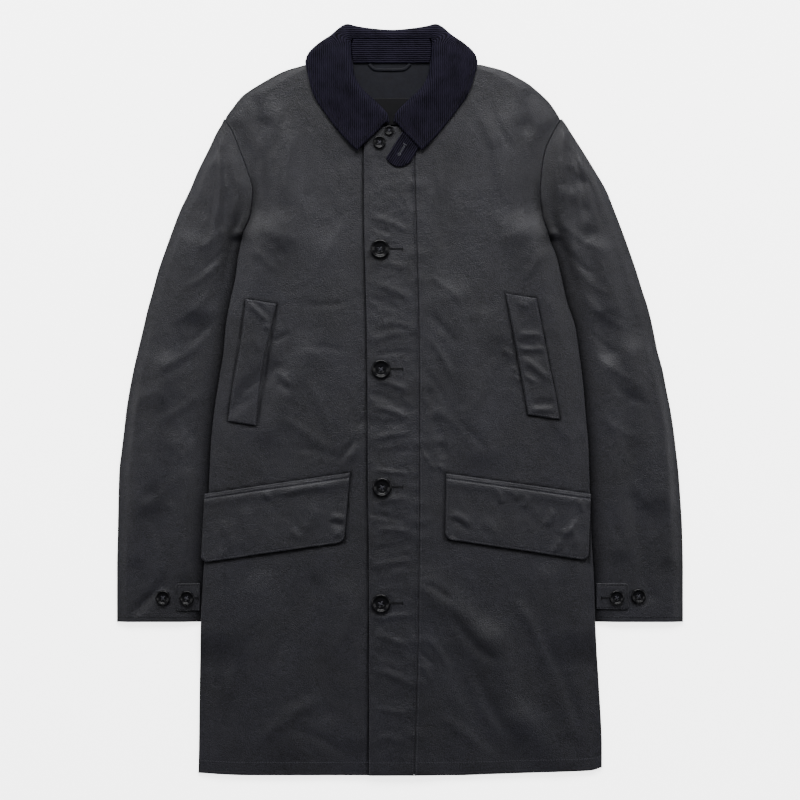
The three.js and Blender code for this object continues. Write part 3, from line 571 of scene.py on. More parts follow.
def clothPiece(name, x, y, top, thickness, material, shade=None):
    # one cut piece of cloth: a thin closed wall under its top face, with rolled edges. Its cut is the width
    # and length of the plan
    across = np.minimum(np.abs(x - x[:, :1]), np.abs(x - x[:, -1:]))
    along = np.minimum(np.abs(y - y[:1]), np.abs(y - y[-1:]))
    roll = np.maximum(rounded(across, thickness), rounded(along, thickness))
    upper = top - roll
    lower = np.minimum(top - thickness + roll * 0.4, upper - 0.2)
    piece = wallPiece(name, x, y, upper, np.maximum(lower, 0))
    # the painted shade goes on as a point attribute, the same on the upper and the lower face
    if shade is not None:
        layer = piece.data.attributes.new("shade", "FLOAT", "POINT")
        layer.data.foreach_set("value", np.concatenate([shade.ravel(), shade.ravel()]))
    dressCloth(piece, material,
               planArea(x, y))


def dressCloth(piece, material, area):
    piece.data.materials.append(material)
    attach(piece, "root")
    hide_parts(piece.name.replace("cloth_", ""))
    print(f"{piece.name}: {len(piece.data.polygons)} faces, {area:.4f} m2 flat")


def linear(hexColour):
    # sRGB hex to linear RGBA
    parts = [int(hexColour[k:k + 2], 16) / 255 for k in (1, 3, 5)]
    parts = [c / 12.92 if c <= 0.04045 else ((c + 0.055) / 1.055) ** 2.4 for c in parts]
    return [*parts, 1]


def addNode(tree, kind, settings=None, inputs=None, links=None):
    node = tree.nodes.new(kind)
    for key, value in (settings or {}).items():
        setattr(node, key, value)
    for key, value in (inputs or {}).items():
        node.inputs[key].default_value = value
    for key, source in (links or {}).items():
        tree.links.new(source, node.inputs[key])
    return node


def newMaterial(name, settings):
    material = bpy.data.materials.new(name)
    material.use_nodes = True
    tree = material.node_tree
    shader = tree.nodes["Principled BSDF"]
    for key, value in settings.items():
        shader.inputs[key].default_value = value
    return material, tree, shader


def colourRamp(tree, factor, stops):
    ramp = addNode(tree, "ShaderNodeValToRGB", links={"Fac": factor})
    ramp.color_ramp.elements[0].position, ramp.color_ramp.elements[0].color = stops[0]
    ramp.color_ramp.elements[1].position, ramp.color_ramp.elements[1].color = stops[1]
    return ramp


def addNoise(tree, size, detail):
    # noise whose grain is about this many millimetres
    place = addNode(tree, "ShaderNodeTexCoord").outputs["Object"]
    return addNode(tree, "ShaderNodeTexNoise", inputs={
        "Scale": 1000 / size, "Detail": detail, "Roughness": 0.6}, links={"Vector": place}).outputs["Fac"]


def addBumps(tree, shader, bumps):
    # one bump on another, each a height with its strength and its depth in metres
    links = {}
    for height, strength, depth in bumps:
        bump = addNode(tree, "ShaderNodeBump", inputs={"Strength": strength, "Distance": depth},
                       links={"Height": height, **links})
        links = {"Normal": bump.outputs["Normal"]}
    tree.links.new(bump.outputs["Normal"], shader.inputs["Normal"])


def waveScale(pitch):
    # the Wave Texture's scale for bands this many millimetres apart
    return 2 * math.pi / (20 * pitch * mm)


# Waxed cotton: a plain weave filled with wax, so the threads barely show, and the wax gives a
# broad soft shine that mottles where it has been handled. The grain stands for the weave, drawn
# nearly three times coarser than its real half-millimetre threads so that it shows
waxLook = {"grain": 1.3, "mottle": 7, "cloud": 80, "crinkle": 17, "grainShare": 3.2, "mottleShare": 0.45,
           "darkFrom": 1.72, "lightFrom": 2.93, "specular": 0.19, "dull": 0.52, "shiny": 0.38,
           "darkest": 0.12, "dark": "#030304", "light": "#1b1b20"}


def makeWaxedCotton():
    material, tree, shader = newMaterial("waxed cotton, plain woven", {
        "IOR": 1.45,
        "Sheen Weight": 0.04, "Sheen Roughness": 0.45, "Sheen Tint": linear("#c2c2cf"),
    })
    grain, mottle, cloud, crinkle = (
        addNoise(tree, waxLook[size], detail)
        for size, detail in (("grain", 2), ("mottle", 4), ("cloud", 3), ("crinkle", 4)))
    both = addNode(tree, "ShaderNodeMath", {"operation": "MULTIPLY_ADD"}, {1: waxLook["mottleShare"]},
                   {0: mottle, 2: cloud})
    speckled = addNode(tree, "ShaderNodeMath", {"operation": "MULTIPLY_ADD"}, {1: waxLook["grainShare"]},
                       {0: grain, 2: both.outputs[0]})
    spread = addNode(tree, "ShaderNodeMapRange", inputs={
        "From Min": waxLook["darkFrom"], "From Max": waxLook["lightFrom"]},
        links={"Value": speckled.outputs[0]})
    colour = colourRamp(tree, spread.outputs["Result"], [
        (0, linear(waxLook["dark"])), (1, linear(waxLook["light"]))])
    # the shade painted on the pieces darkens the colour and dulls the shine
    shade = addNode(tree, "ShaderNodeAttribute", {"attribute_name": "shade"}).outputs["Fac"]
    clear = addNode(tree, "ShaderNodeMapRange", inputs={"To Min": 1.0, "To Max": waxLook["darkest"]},
                    links={"Value": shade})
    deep = addNode(tree, "ShaderNodeVectorMath", {"operation": "SCALE"},
                   links={0: colour.outputs["Color"], "Scale": clear.outputs["Result"]})
    tree.links.new(deep.outputs["Vector"], shader.inputs["Base Color"])
    sheen = addNode(tree, "ShaderNodeMath", {"operation": "MULTIPLY"}, {1: waxLook["specular"]},
                    {0: clear.outputs["Result"]})
    tree.links.new(sheen.outputs[0], shader.inputs["Specular IOR Level"])
    shine = addNode(tree, "ShaderNodeMapRange", inputs={
        "From Min": 0.5, "From Max": 1.0, "To Min": waxLook["dull"], "To Max": waxLook["shiny"]},
        links={"Value": both.outputs[0]})
    tree.links.new(shine.outputs["Result"], shader.inputs["Roughness"])
    addBumps(tree, shader, [(crinkle, 0.35, 0.0012), (mottle, 0.2, 0.0004), (grain, 1.0, 0.0006)])
    return material


# Corduroy: cotton pile cut in fine cords, dull and deep, with a soft sheen on the tops
cordLook = {"pitch": 2.6, "pile": 0.9, "patch": 15, "dark": "#030304", "light": "#16141e"}


def makeCorduroy(name, cordsAcross):
    material, tree, shader = newMaterial(name, {
        "Roughness": 0.92, "Specular IOR Level": 0.03,
        "Sheen Weight": 0.03, "Sheen Roughness": 0.35, "Sheen Tint": linear("#6c6a9a"),
    })
    flat = addNode(tree, "ShaderNodeUVMap", {"uv_map": "cloth"}).outputs["UV"]
    wale = addNode(tree, "ShaderNodeTexWave", {"bands_direction": cordsAcross}, {
        "Scale": waveScale(cordLook["pitch"]), "Distortion": 1.2, "Detail": 2, "Detail Scale": 2},
        {"Vector": flat}).outputs["Fac"]
    pile, patch = (addNoise(tree, cordLook[size], 3) for size in ("pile", "patch"))
    worn = addNode(tree, "ShaderNodeMath", {"operation": "MULTIPLY_ADD"}, {1: 0.6}, {0: wale, 2: patch})
    colour = colourRamp(tree, worn.outputs[0], [
        (0.4, linear(cordLook["dark"])), (1.1, linear(cordLook["light"]))])
    tree.links.new(colour.outputs["Color"], shader.inputs["Base Color"])
    addBumps(tree, shader, [(wale, 1.0, 0.0011), (pile, 0.5, 0.0004)])
    return material


def makePlain(name, dark, light, settings, grain, depth):
    # plain woven cloths, threads and moulded buttons
    material, tree, shader = newMaterial(name, settings)
    noise = addNoise(tree, grain, 4)
    colour = colourRamp(tree, noise, [(0.3, linear(dark)), (0.7, linear(light))])
    tree.links.new(colour.outputs["Color"], shader.inputs["Base Color"])
    addBumps(tree, shader, [(noise, 0.4, depth)])
    return material


waxedCotton = makeWaxedCotton()
corduroy = makeCorduroy("cotton corduroy, cut pile", "X")
standCorduroy = makeCorduroy("cotton corduroy, cut pile, cords along the stand", "Y")
# Cotton lining: smooth plain weave with a slight shine
liningCloth = makePlain("cotton lining, plain woven", "#050509", "#090a10",
                        {"Roughness": 0.6, "Specular IOR Level": 0.08}, 5, 0.0005)
# Label: a close satin weave, left bare
labelCloth = makePlain("polyester label, satin woven", "#040406", "#070709",
                       {"Roughness": 0.5, "Specular IOR Level": 0.06}, 1.5, 0.0002)
# Buttons: polished urea, dark and glossy
buttonResin = makePlain("urea resin, moulded and polished", "#050506", "#09090b",
                        {"Roughness": 0.22, "IOR": 1.5, "Specular IOR Level": 0.14}, 6, 0.00005)
# Sewing thread: matt spun cotton, darker than the shine of the wax round it
threadCotton = makePlain("cotton thread, spun", "#030304", "#070709",
                         {"Roughness": 0.85, "Specular IOR Level": 0.1}, 1.2, 0.0001)
# Seam thread: the same cotton rubbed by the wax, the paler dots along the seams and edges
seamCotton = makePlain("cotton thread, spun and waxed", "#121216", "#24242a",
                       {"Roughness": 0.7, "Specular IOR Level": 0.2}, 1.2, 0.0001)
# Buttonhole thread: thicker twist with a slight lustre, a little lighter
twistCotton = makePlain("cotton buttonhole twist", "#17171c", "#2c2c34",
                        {"Roughness": 0.6, "Specular IOR Level": 0.25}, 1.2, 0.0001)
print("materials made")


# Body panels
def waxedPiece(name, x, y, top, thickness=wall, shade=None):
    clothPiece(name, x, y, top, thickness, waxedCotton, shade)


def rowYs(first, last, cell):
    return first - edgeSpacing(first - last, cell)


def hemmed(x, y):
    # rows near the hem follow its line
    rise = smoothCurve(hemLine, "x", "rise", x)
    return y + rise * (1 - smoothStep((y - body["hemY"]) / 60))


def panelPlan(outer, inner, rows, cell):
    # a plan grid between two edges given for each row
    width = np.abs(inner - outer)
    share = edgeSpacing(width.max(), cell) / width.max()
    x = mix(outer[:, None], inner[:, None], share[None, :])
    return x, np.repeat(rows[:, None], len(share), 1)


# Rows that a front and a sleeve share along the armhole, and their own rows above and below
armholeTop, armholeEnd = 360, 204


def rowsFrom(start, end, count):
    return start - np.concatenate([rowEdge, np.linspace(rowEdge[-1], start - end, count)[1:]])


aboveRows = rowsFrom(body["neckY"], armholeTop, 22)
armholeRows = rowsFrom(armholeTop, armholeEnd, 51)


def rowsBelow(start, end, cell):
    # rows from below start down to end, close together by the end
    length = start - end - rowEdge[-1]
    plain = start - np.linspace(0, length, int(round(length / cell)) + 1)[1:]
    return np.concatenate([plain, end + np.array(rowEdge[:-1])[::-1]])


def frontPlan(side):
    rows = np.concatenate([aboveRows, armholeRows[1:], rowsBelow(armholeEnd, body["hemY"], body["cell"])])
    seam = placketX("seam", rows) + (gap / 2 if side == "left" else -gap - 2)
    neck = smoothCurve(neckEdges, "y", side, rows)
    inner = np.where(rows > body["placketY"] - 5, neck, seam)
    x, y = panelPlan(bodyEdge(side, rows), inner, rows, body["cell"])
    return x, hemmed(x, y)


backRows = rowYs(body["neckY"], body["hemY"], body["backCell"])
x, y = panelPlan(bodyEdge("right", backRows), bodyEdge("left", backRows), backRows, body["backCell"])
y = hemmed(x, y)
waxedPiece("cloth_back", x, y, backLift(x, y) + wall)

# the fronts carry painted shadow along the placket, round the pockets and by the armholes
x, y = frontPlan("right")
waxedPiece("cloth_front_right", x, y, frontTop(x, y), shade=frontPaintedShade(x, y))
x, y = frontPlan("left")
waxedPiece("cloth_front_left", x, y, leftFrontTop(x, y), shade=frontPaintedShade(x, y))

placketRows = rowYs(body["placketY"], body["hemY"], placketLook["cell"])
free, seam = placketX("free", placketRows), placketX("seam", placketRows) - gap / 2
x, y = panelPlan(free, seam, placketRows, placketLook["cell"])
y = hemmed(x, y)
waxedPiece("cloth_placket", x, y, placketTop(x, y), shade=placketPaintedShade(x, y))


# Sleeves
def sleevePlan(side, cell, seamGap):
    # below the armpit the sleeve is tucked under the body's edge
    rows = np.concatenate([armholeRows, rowsBelow(armholeEnd, body["cuffY"], cell)])
    tuck = sleeve["tuck"] * smoothStep((body["armpitY"] - rows) / sleeve["tuckRun"])
    inner = bodyEdge(side, rows) + outward[side] * (seamGap - tuck)
    return panelPlan(inner, smoothCurve(sleeveEdges, "y", side, rows), rows, cell)


# the top sleeves carry painted shadow beside the body's edge
for side in outward:
    x, y = sleevePlan(side, sleeve["cell"], sleeve["seamGap"])
    waxedPiece(f"cloth_top_sleeve_{side}", x, y, sleeveTop(side, x, y),
               shade=sleevePaintedShade(side, x, y))
    # it reaches a little under the body, so that the floor can't be seen through the seam
    x, y = sleevePlan(side, sleeve["underCell"], -2 * sleeve["seamGap"])
    waxedPiece(f"cloth_under_sleeve_{side}", x, y, np.full(x.shape, wall))


# Pockets
def stitchDip(distance, depth=0.3):
    # the line that a row of stitches presses into the cloth
    return -depth * nearLine(distance, 0.9)


# Rows near a flap's edges, closer where its groove is
fineSeam = (0, 0.3, 0.8, 1.5, 2.3, 3.2, 4.2, 5.2, 5.8, 6.4, 7.0, 7.8, 9)


def flapDown(side, x, y):
    # distance down from a flap's top line, and distance in from its free edges
    (x0, y0), (x1, y1) = flaps[side]["top"]
    down = mix(y0, y1, (x - x0) / (x1 - x0)) - y
    return down, insideQuad(x, y, flapCorners(side))


def flapTop(side, x, y):
    down, inside = flapDown(side, x, y)
    own = 0.7 + flapLook["crease"] * foldHeight(flapCreases[side], x, y, 0.3)
    own = own + flapLook["crumple"] * clothCrumple(x * 1.4, y * 1.4, seeds["flap"])
    # it lifts towards its lower edge, and bulges just under its seam
    own = own + flapLook["lift"] * smoothStep((down - 20) / 60) + 0.5 * nearLine(down - 12, 5)
    own = own * smoothStep((down + 3) / 8) - flapLook["groove"] * nearLine(down - flapLook["seamDown"], 1)
    dip = stitchDip(inside - flapLook["stitchIn"], 0.2)
    return sideTop(side, x, y) + gap + wall + np.maximum(own, 0) + dip


def flapGrid(side):
    top, bottom = flaps[side]["top"], flaps[side]["bottom"]
    width, corner = top[1][0] - top[0][0], flapLook["corner"]
    across = edgeSpacing(width, flapLook["cell"])
    share = across / width
    short = np.maximum(corner - np.minimum(across, width - across), 0)
    topY = mix(top[0][1], top[1][1], share)
    bottomY = mix(bottom[0][1], bottom[1][1], share) + corner - np.sqrt(corner ** 2 - short ** 2)
    height = float((topY - bottomY).max())
    down = (edgeSpacing(height, flapLook["cell"], fineSeam) / height)[:, None]
    x = mix(mix(top[0][0], top[1][0], share), mix(bottom[0][0], bottom[1][0], share), down)
    return x, mix(topY, bottomY, down)


def weltEdge(side, edge, y):
    return smoothCurve(welts[side], "y", edge, y)


def weltGrid(side):
    first, last = welts[side]["y"][0], welts[side]["y"][-1]
    rows = rowYs(first, last, weltLook["cell"])
    outer, inner = weltEdge(side, "outer", rows), weltEdge(side, "inner", rows)
    x, y = panelPlan(outer, inner, rows, weltLook["cell"])
    return x, y - weltSlant[side] * (x - outer[:, None]) / (inner - outer)[:, None]


def weltInside(side, x, y):
    # distance in from the nearest edge of a welt
    slant = weltSlant[side]
    row = y + slant * 0.5
    outer, inner = weltEdge(side, "outer", row), weltEdge(side, "inner", row)
    across = np.minimum(np.abs(x - outer), np.abs(x - inner))
    share = np.clip((x - outer) / (inner - outer), 0, 1)
    level = y + slant * share
    along = np.minimum(welts[side]["y"][0] - level, level - welts[side]["y"][-1])
    return np.minimum(across, along)


def weltTop(side, x, y):
    inside = weltInside(side, x, y)
    own = 0.5 + weltLook["crease"] * foldHeight(weltCreases[side], x, y, 0.3)
    own = own + weltLook["crumple"] * clothCrumple(x * 1.4, y * 1.4, seeds["welt"])
    own = np.maximum(own, 0.05) * smoothStep((inside + 2) / 5)
    return sideTop(side, x, y) + gap + wall + own + stitchDip(inside - weltLook["stitchIn"], 0.2)


for side in outward:
    x, y = flapGrid(side)
    waxedPiece(f"cloth_flap_{side}", x, y, flapTop(side, x, y))
    x, y = weltGrid(side)
    waxedPiece(f"cloth_welt_{side}", x, y, weltTop(side, x, y))


# Cuff tabs: sewn in at the body side of each sleeve, with two rounded corners at the free end
def tabGrid(side):
    plan = cuffTabs[side]
    length, height = abs(plan["outer"] - plan["inner"]), plan["top"] - plan["bottom"]
    along, down = edgeSpacing(length, tabLook["cell"]), edgeSpacing(height, tabLook["cell"])
    toEnd = np.maximum(tabLook["corner"] - np.minimum(down, height - down), 0)
    short = tabLook["corner"] - np.sqrt(tabLook["corner"] ** 2 - toEnd ** 2)
    share = along[None, :] / length * (1 - short[:, None] / length)
    x = mix(plan["inner"], plan["outer"], share)
    return x, np.repeat((plan["top"] - down)[:, None], len(along), 1)


def tabTop(side, x, y):
    plan = cuffTabs[side]
    free = np.abs(x - plan["outer"]) / abs(plan["outer"] - plan["inner"])
    level = np.minimum(plan["top"] - y, y - plan["bottom"])
    edge = np.minimum(level, np.abs(x - plan["outer"]))
    own = 0.35 + 0.3 * (1 - free) + tabLook["crumple"] * crumple(x, y, 9, 12, seeds["tab"])
    dip = stitchDip(edge - tabLook["stitchIn"], 0.2)
    return sleeveTop(side, x, y) + gap + tabLook["thickness"] + own + dip


for side in outward:
    x, y = tabGrid(side)
    waxedPiece(f"cloth_cuff_tab_{side}", x, y, tabTop(side, x, y),
               thickness=tabLook["thickness"])
print("pockets and tabs made")


# Collar: half of its sections from the front edge to the middle of the back. Each runs from the
# inner edge over the roll and out to the free edge, and X is measured out from the neck's centre
collarHalf = [
    [(3, 354, 12.2), (6, 355, 15), (17, 344, 15), (31, 331, 14.6), (44, 318.5, 14)],
    [(6, 366, 8), (12, 367, 16), (29, 352, 15.2), (42, 340, 14), (53, 327.5, 13.2)],
    [(22, 384, 5.6), (28, 380, 17), (46, 366, 15), (58.5, 355, 12.4), (69.5, 346, 11.6)],
    [(38, 399, 5.2), (45, 395, 17), (64, 384, 14.6), (76.5, 375, 11.8), (86.5, 369, 10.8)],
    [(47, 415, 5.2), (54, 411, 16.6), (72, 404, 14.2), (88.5, 397, 11.2), (100.5, 392, 10.2)],
    [(50.5, 434, 5.4), (58, 431, 16), (78, 427, 13.6), (96, 422, 10.4), (107, 417.5, 9.2)],
    [(51.5, 445, 5.6), (60, 446, 14.6), (82, 444, 12.4), (106, 441, 8.6), (109.4, 433.6, 7.6)],
    [(52, 453, 5.8), (61, 458, 12), (80, 458, 9.6), (96, 453.4, 4.6), (86, 437, 1.8)],
    [(52, 458.5, 5.8), (60, 468, 9.6), (72, 471, 6.4), (74, 466, 2.6), (68, 437, 1.8)],
    [(50.5, 462.4, 5.8), (55, 473, 7.4), (58, 480.9, 4.2), (55, 472, 1.9), (52, 437, 1.7)],
    [(45, 463, 5.8), (46, 472, 7.2), (46, 478.6, 4.2), (46, 471, 1.9), (46, 437, 1.7)],
    [(30, 463, 5.8), (30, 470.4, 6.8), (30, 476, 4.1), (30, 470, 1.9), (30, 437, 1.7)],
    [(0, 463, 5.8), (0, 468.6, 6.6), (0, 473.6, 4.1), (0, 467, 1.9), (0, 437, 1.7)],
]
leanIn = [5, 5, 5, 4, 2]  # the left leaf's free edge lies this much nearer the neck's centre
collarLook = {"wall": 2.4, "length": 480, "depth": 100, "along": 241, "across": 56, "ripple": 0.35}


def centripetal(points, places):
    # a centripetal Catmull-Rom curve through points, at places from 0 to 1
    points = np.asarray(points, float)
    chain = np.concatenate([[2 * points[0] - points[1]], points, [2 * points[-1] - points[-2]]])
    place = np.clip(places, 0, 1) * (len(points) - 1)
    k = np.minimum(place.astype(int), len(points) - 2)
    t = (place - k)[:, None]
    p0, p1, p2, p3 = (chain[k + n] for n in range(4))
    d0, d1, d2 = (np.maximum(np.linalg.norm(b - a, axis=1)[:, None] ** 0.5, 0.01)
                  for a, b in ((p0, p1), (p1, p2), (p2, p3)))
    leave = ((p1 - p0) / d0 - (p2 - p0) / (d0 + d1) + (p2 - p1) / d1) * d1
    arrive = ((p2 - p1) / d1 - (p3 - p1) / (d1 + d2) + (p3 - p2) / d2) * d1
    return ((1 + 2 * t) * (1 - t) ** 2 * p1 + t * (1 - t) ** 2 * leave
            + t * t * (3 - 2 * t) * p2 + t * t * (t - 1) * arrive)


def gridNormals(grid):
    along = np.gradient(grid, axis=0)
    across = np.gradient(grid, axis=1)
    normal = np.cross(along, across)
    return normal / np.maximum(np.linalg.norm(normal, axis=2, keepdims=True), 1e-9)


def gridArea(grid):
    # area of a curved grid, in square metres
    a, b, c, d = grid[:-1, :-1], grid[1:, :-1], grid[1:, 1:], grid[:-1, 1:]
    halves = np.linalg.norm(np.cross(b - a, c - a), axis=2) + np.linalg.norm(np.cross(c - a, d - a), axis=2)
    return float(halves.sum()) / 2 * mm * mm


def thickPiece(name, grid, thickness, flatUv, material):
    # a curved wall about its middle surface, with its edges rolled thinner
    rows, cols = grid.shape[:2]
    steps = np.linalg.norm(np.diff(grid, axis=1), axis=2).cumsum(1)
    across = np.concatenate([np.zeros((rows, 1)), steps], 1)
    toSide = np.minimum(across, across[:, -1:] - across)
    lengths = np.linalg.norm(np.diff(grid, axis=0), axis=2).cumsum(0)
    along = np.concatenate([np.zeros((1, cols)), lengths], 0)
    toEnd = np.minimum(along, along[-1:] - along)
    roll = np.maximum(rounded(toSide, thickness), rounded(toEnd, thickness))
    half = (thickness / 2 - roll * 0.85)[:, :, None]
    normal = gridNormals(grid)
    outer, inner = grid + normal * half, grid - normal * half
    points = np.concatenate([outer.reshape(-1, 3), inner.reshape(-1, 3)])
    faces = wallFaces(rows, cols)
    # turned over if a face near the middle looks against the grid's normal
    middle = (rows // 2) * cols + cols // 3
    a, b, c = points[middle], points[middle + cols], points[middle + 1]
    if np.dot(np.cross(b - a, c - a), normal.reshape(-1, 3)[middle]) < 0:
        faces = faces[:, ::-1]
    flat = flatUv.reshape(-1, 2)
    piece = newMesh(name, points, faces, np.concatenate([flat, flat]))
    dressCloth(piece, material, gridArea(grid))


def collarGrid():
    across = np.linspace(0, 1, collarLook["across"])
    sections = []
    for mirror, rows in ((-1, collarHalf), (1, collarHalf[-2::-1])):
        for row in rows:
            place = collarHalf.index(row)
            lean = leanIn[place] if mirror > 0 and place < len(leanIn) else 0
            section = [(centreX + mirror * (px - lean * k / 4), py, pz) for k, (px, py, pz) in enumerate(row)]
            sections.append(centripetal(section, across))
    sections = np.array(sections)
    along = np.linspace(0, 1, collarLook["along"])
    grid = np.stack([centripetal(sections[:, k], along) for k in range(len(across))], 1)
    # soft waves in the leaves, none where the collar meets the stand or lies under itself
    out = np.abs(grid[:, :, 0] - centreX)
    leaf = smoothStep((out - 20) / 30) * smoothStep((across[None, :] - 0.2) / 0.2)
    leaf = leaf * smoothStep((grid[:, :, 2] - 8) / 3)
    waves = crumple(grid[:, :, 0], grid[:, :, 1], 17, 24, seeds["collar"])
    grid[:, :, 2] += collarLook["ripple"] * leaf * waves
    return grid


def collarUv(grid):
    # the cords run up the leaves and turn along the back of the neck
    rows, cols = grid.shape[:2]
    half = len(collarHalf) - 1
    row = np.linspace(0, 2 * half, rows)
    row = np.minimum(row, 2 * half - row)[:, None]
    turn = smoothStep((row - 6.6) / 1.6)
    out = np.abs(grid[:, :, 0] - centreX) - 55
    up = grid[:, :, 1] - 458
    length = np.repeat(np.linspace(0, collarLook["length"], rows)[:, None], cols, 1)
    return np.stack([mix(out, up, turn), length], 2)


collar = collarGrid()
thickPiece("cloth_collar_fall", collar, collarLook["wall"], collarUv(collar), corduroy)


def neckPatch(halves, cell, rowCell):
    # a plan grid in the neck from a table of half widths, from its top row to its bottom one
    rows = rowYs(halves["y"].max(), halves["y"].min(), rowCell)
    half = smoothCurve(halves, "y", "half", rows)
    return panelPlan(centreX - half, centreX + half, rows, cell)


# Collar stand: the band inside the back of the neck
standLook = {"top": 6.6, "thickness": 2.0, "dip": 0.25, "crumple": 0.15}
standHalf = columns(["y", "half"], [[432, 48.6], [443, 50.4], [452, 51], [462.8, 49]])
x, y = neckPatch(standHalf, 3, 1.4)
top = standLook["top"] - standLook["dip"] * nearLine(x - centreX, 60)
top = top + standLook["crumple"] * crumple(x, y, 22, 15, seeds["stand"])
clothPiece("cloth_collar_stand", x, y, top, standLook["thickness"], standCorduroy)

# Lining at the back of the neck, with a seam down each side. Under the label it lies flat
liningLook = {"thickness": 1.1, "crumple": 0.25, "pucker": 0.25, "stitch": 0.3}
liningHalf = columns(["y", "half"], [[346, 36], [360, 40], [380, 50], [400, 62], [420, 66], [439, 56]])
liningTop = wall + gap + 1.2
liningSeams = (-66, 38)
x, y = neckPatch(liningHalf, 2, 2.4)
clear = smoothStep((y - 392) / 8)
waves = crumple(x, y, 24, 40, seeds["lining"]) * smoothStep((420 - y) / 12) * clear
top = liningTop - 0.25 + liningLook["crumple"] * waves
for seamX in liningSeams:
    pucker = seamPucker(x, seamX, y, 8, 6, seeds["lining seam"]) * clear
    top = top + liningLook["pucker"] * pucker + stitchDip(x - seamX, liningLook["stitch"])
clothPiece("cloth_back_lining", x, y, top, liningLook["thickness"], liningCloth)

# Hanger loop: a flat tape bent at two corners, its ends under the stand
tapeLook = {"width": 4.4, "thickness": 0.7, "length": 62, "rows": 60, "cols": 7, "bow": 0.25}
tapePath = [(-40, 431), (-34.0, 425.2), (-30.5, 424), (3.5, 424), (7, 425.2), (13, 431)]


def tapePiece():
    middle = centripetal(tapePath, np.linspace(0, 1, tapeLook["rows"]))
    run = np.gradient(middle, axis=0)
    side = np.stack([-run[:, 1], run[:, 0]], 1) / np.linalg.norm(run, axis=1, keepdims=True)
    share = np.linspace(0, 1, tapeLook["cols"])[None, :]
    plan = middle[:, None, :] + side[:, None, :] * (share[:, :, None] - 0.5) * tapeLook["width"]
    across = share + np.zeros((tapeLook["rows"], 1))
    height = liningTop + gap + 0.5 + tapeLook["bow"] * np.sin(across * math.pi)
    grid = np.concatenate([plan, height[:, :, None]], 2)
    along = np.linspace(0, tapeLook["length"], tapeLook["rows"])[:, None] + np.zeros(share.shape)
    flatUv = np.stack([across * tapeLook["width"], along], 2)
    thickPiece("cloth_hanger_loop", grid, tapeLook["thickness"], flatUv, liningCloth)


tapePiece()

# Label: plain and bare
labelLook = {"half": 43, "top": 387, "bottom": 352, "narrow": 0.72, "thickness": 0.6, "crumple": 0.08}
labelRows = rowYs(labelLook["top"], labelLook["bottom"], 2)
height = labelLook["top"] - labelLook["bottom"]
half = labelLook["half"] * mix(labelLook["narrow"], 1, (labelRows - labelLook["bottom"]) / height)
x, y = panelPlan(centreX - half, centreX + half, labelRows, 2.4)
top = liningTop + gap + 0.7 + labelLook["crumple"] * crumple(x, y, 14, 9, seeds["label"])
clothPiece("cloth_label", x, y, top, labelLook["thickness"], labelCloth)

# Throat latch: a corduroy tab that lies on the placket
latchStart, latchTurn = (-6.4, 327.4), math.radians(32.3)
latchColumns = columns(["across", "from", "to"], [
    [0, -20, 21.5], [7, -18.5, 24], [14, -17, 24.2], [20, -15.6, 21.8], [25, -14.4, 17], [29, -13, 8]])
latchLook = {"thickness": 1.8, "lift": 0.5, "crumple": 0.3, "rows": 44, "cols": 34}


def onLatch(across, along):
    # a place on the floor plan, measured across and along the turned tab
    return (latchStart[0] + across * math.cos(latchTurn) - along * math.sin(latchTurn),
            latchStart[1] - across * math.sin(latchTurn) - along * math.cos(latchTurn))


def latchGrid():
    across = np.linspace(0, latchColumns["across"][-1], latchLook["cols"])
    start, end = (smoothCurve(latchColumns, "across", name, across) for name in ("from", "to"))
    down = np.linspace(0, 1, latchLook["rows"])[:, None]
    return onLatch(across[None, :] + 0 * down, mix(start[None, :], end[None, :], down))


def latchTop(x, y):
    rise = latchLook["lift"] + latchLook["crumple"] * crumple(x, y, 13, 16, seeds["latch"])
    return placketTop(x, y) + gap + latchLook["thickness"] + rise


x, y = latchGrid()
grid = np.stack([x, y, latchTop(x, y) - latchLook["thickness"] / 2], 2)
# its cords run along the turned tab
flatUv = np.stack([x * 0.85 - y * 0.53, y], 2)
thickPiece("cloth_throat_latch", grid, latchLook["thickness"], flatUv, corduroy)
print("collar, neck and latch made")


# Buttons: a raised rim round a dished middle with four holes
buttonLook = {"spokes": 72, "rings": 60, "holeOut": 0.23, "holeRadius": 0.1, "holeDepth": 0.4}
buttonProfile = [(0.72, 0), (0.93, 0.12), (1, 0.42), (0.99, 0.72), (0.93, 0.95), (0.86, 1), (0.78, 0.96),
                 (0.7, 0.78), (0.62, 0.62), (0.5, 0.56), (0.3, 0.55), (0, 0.56)]


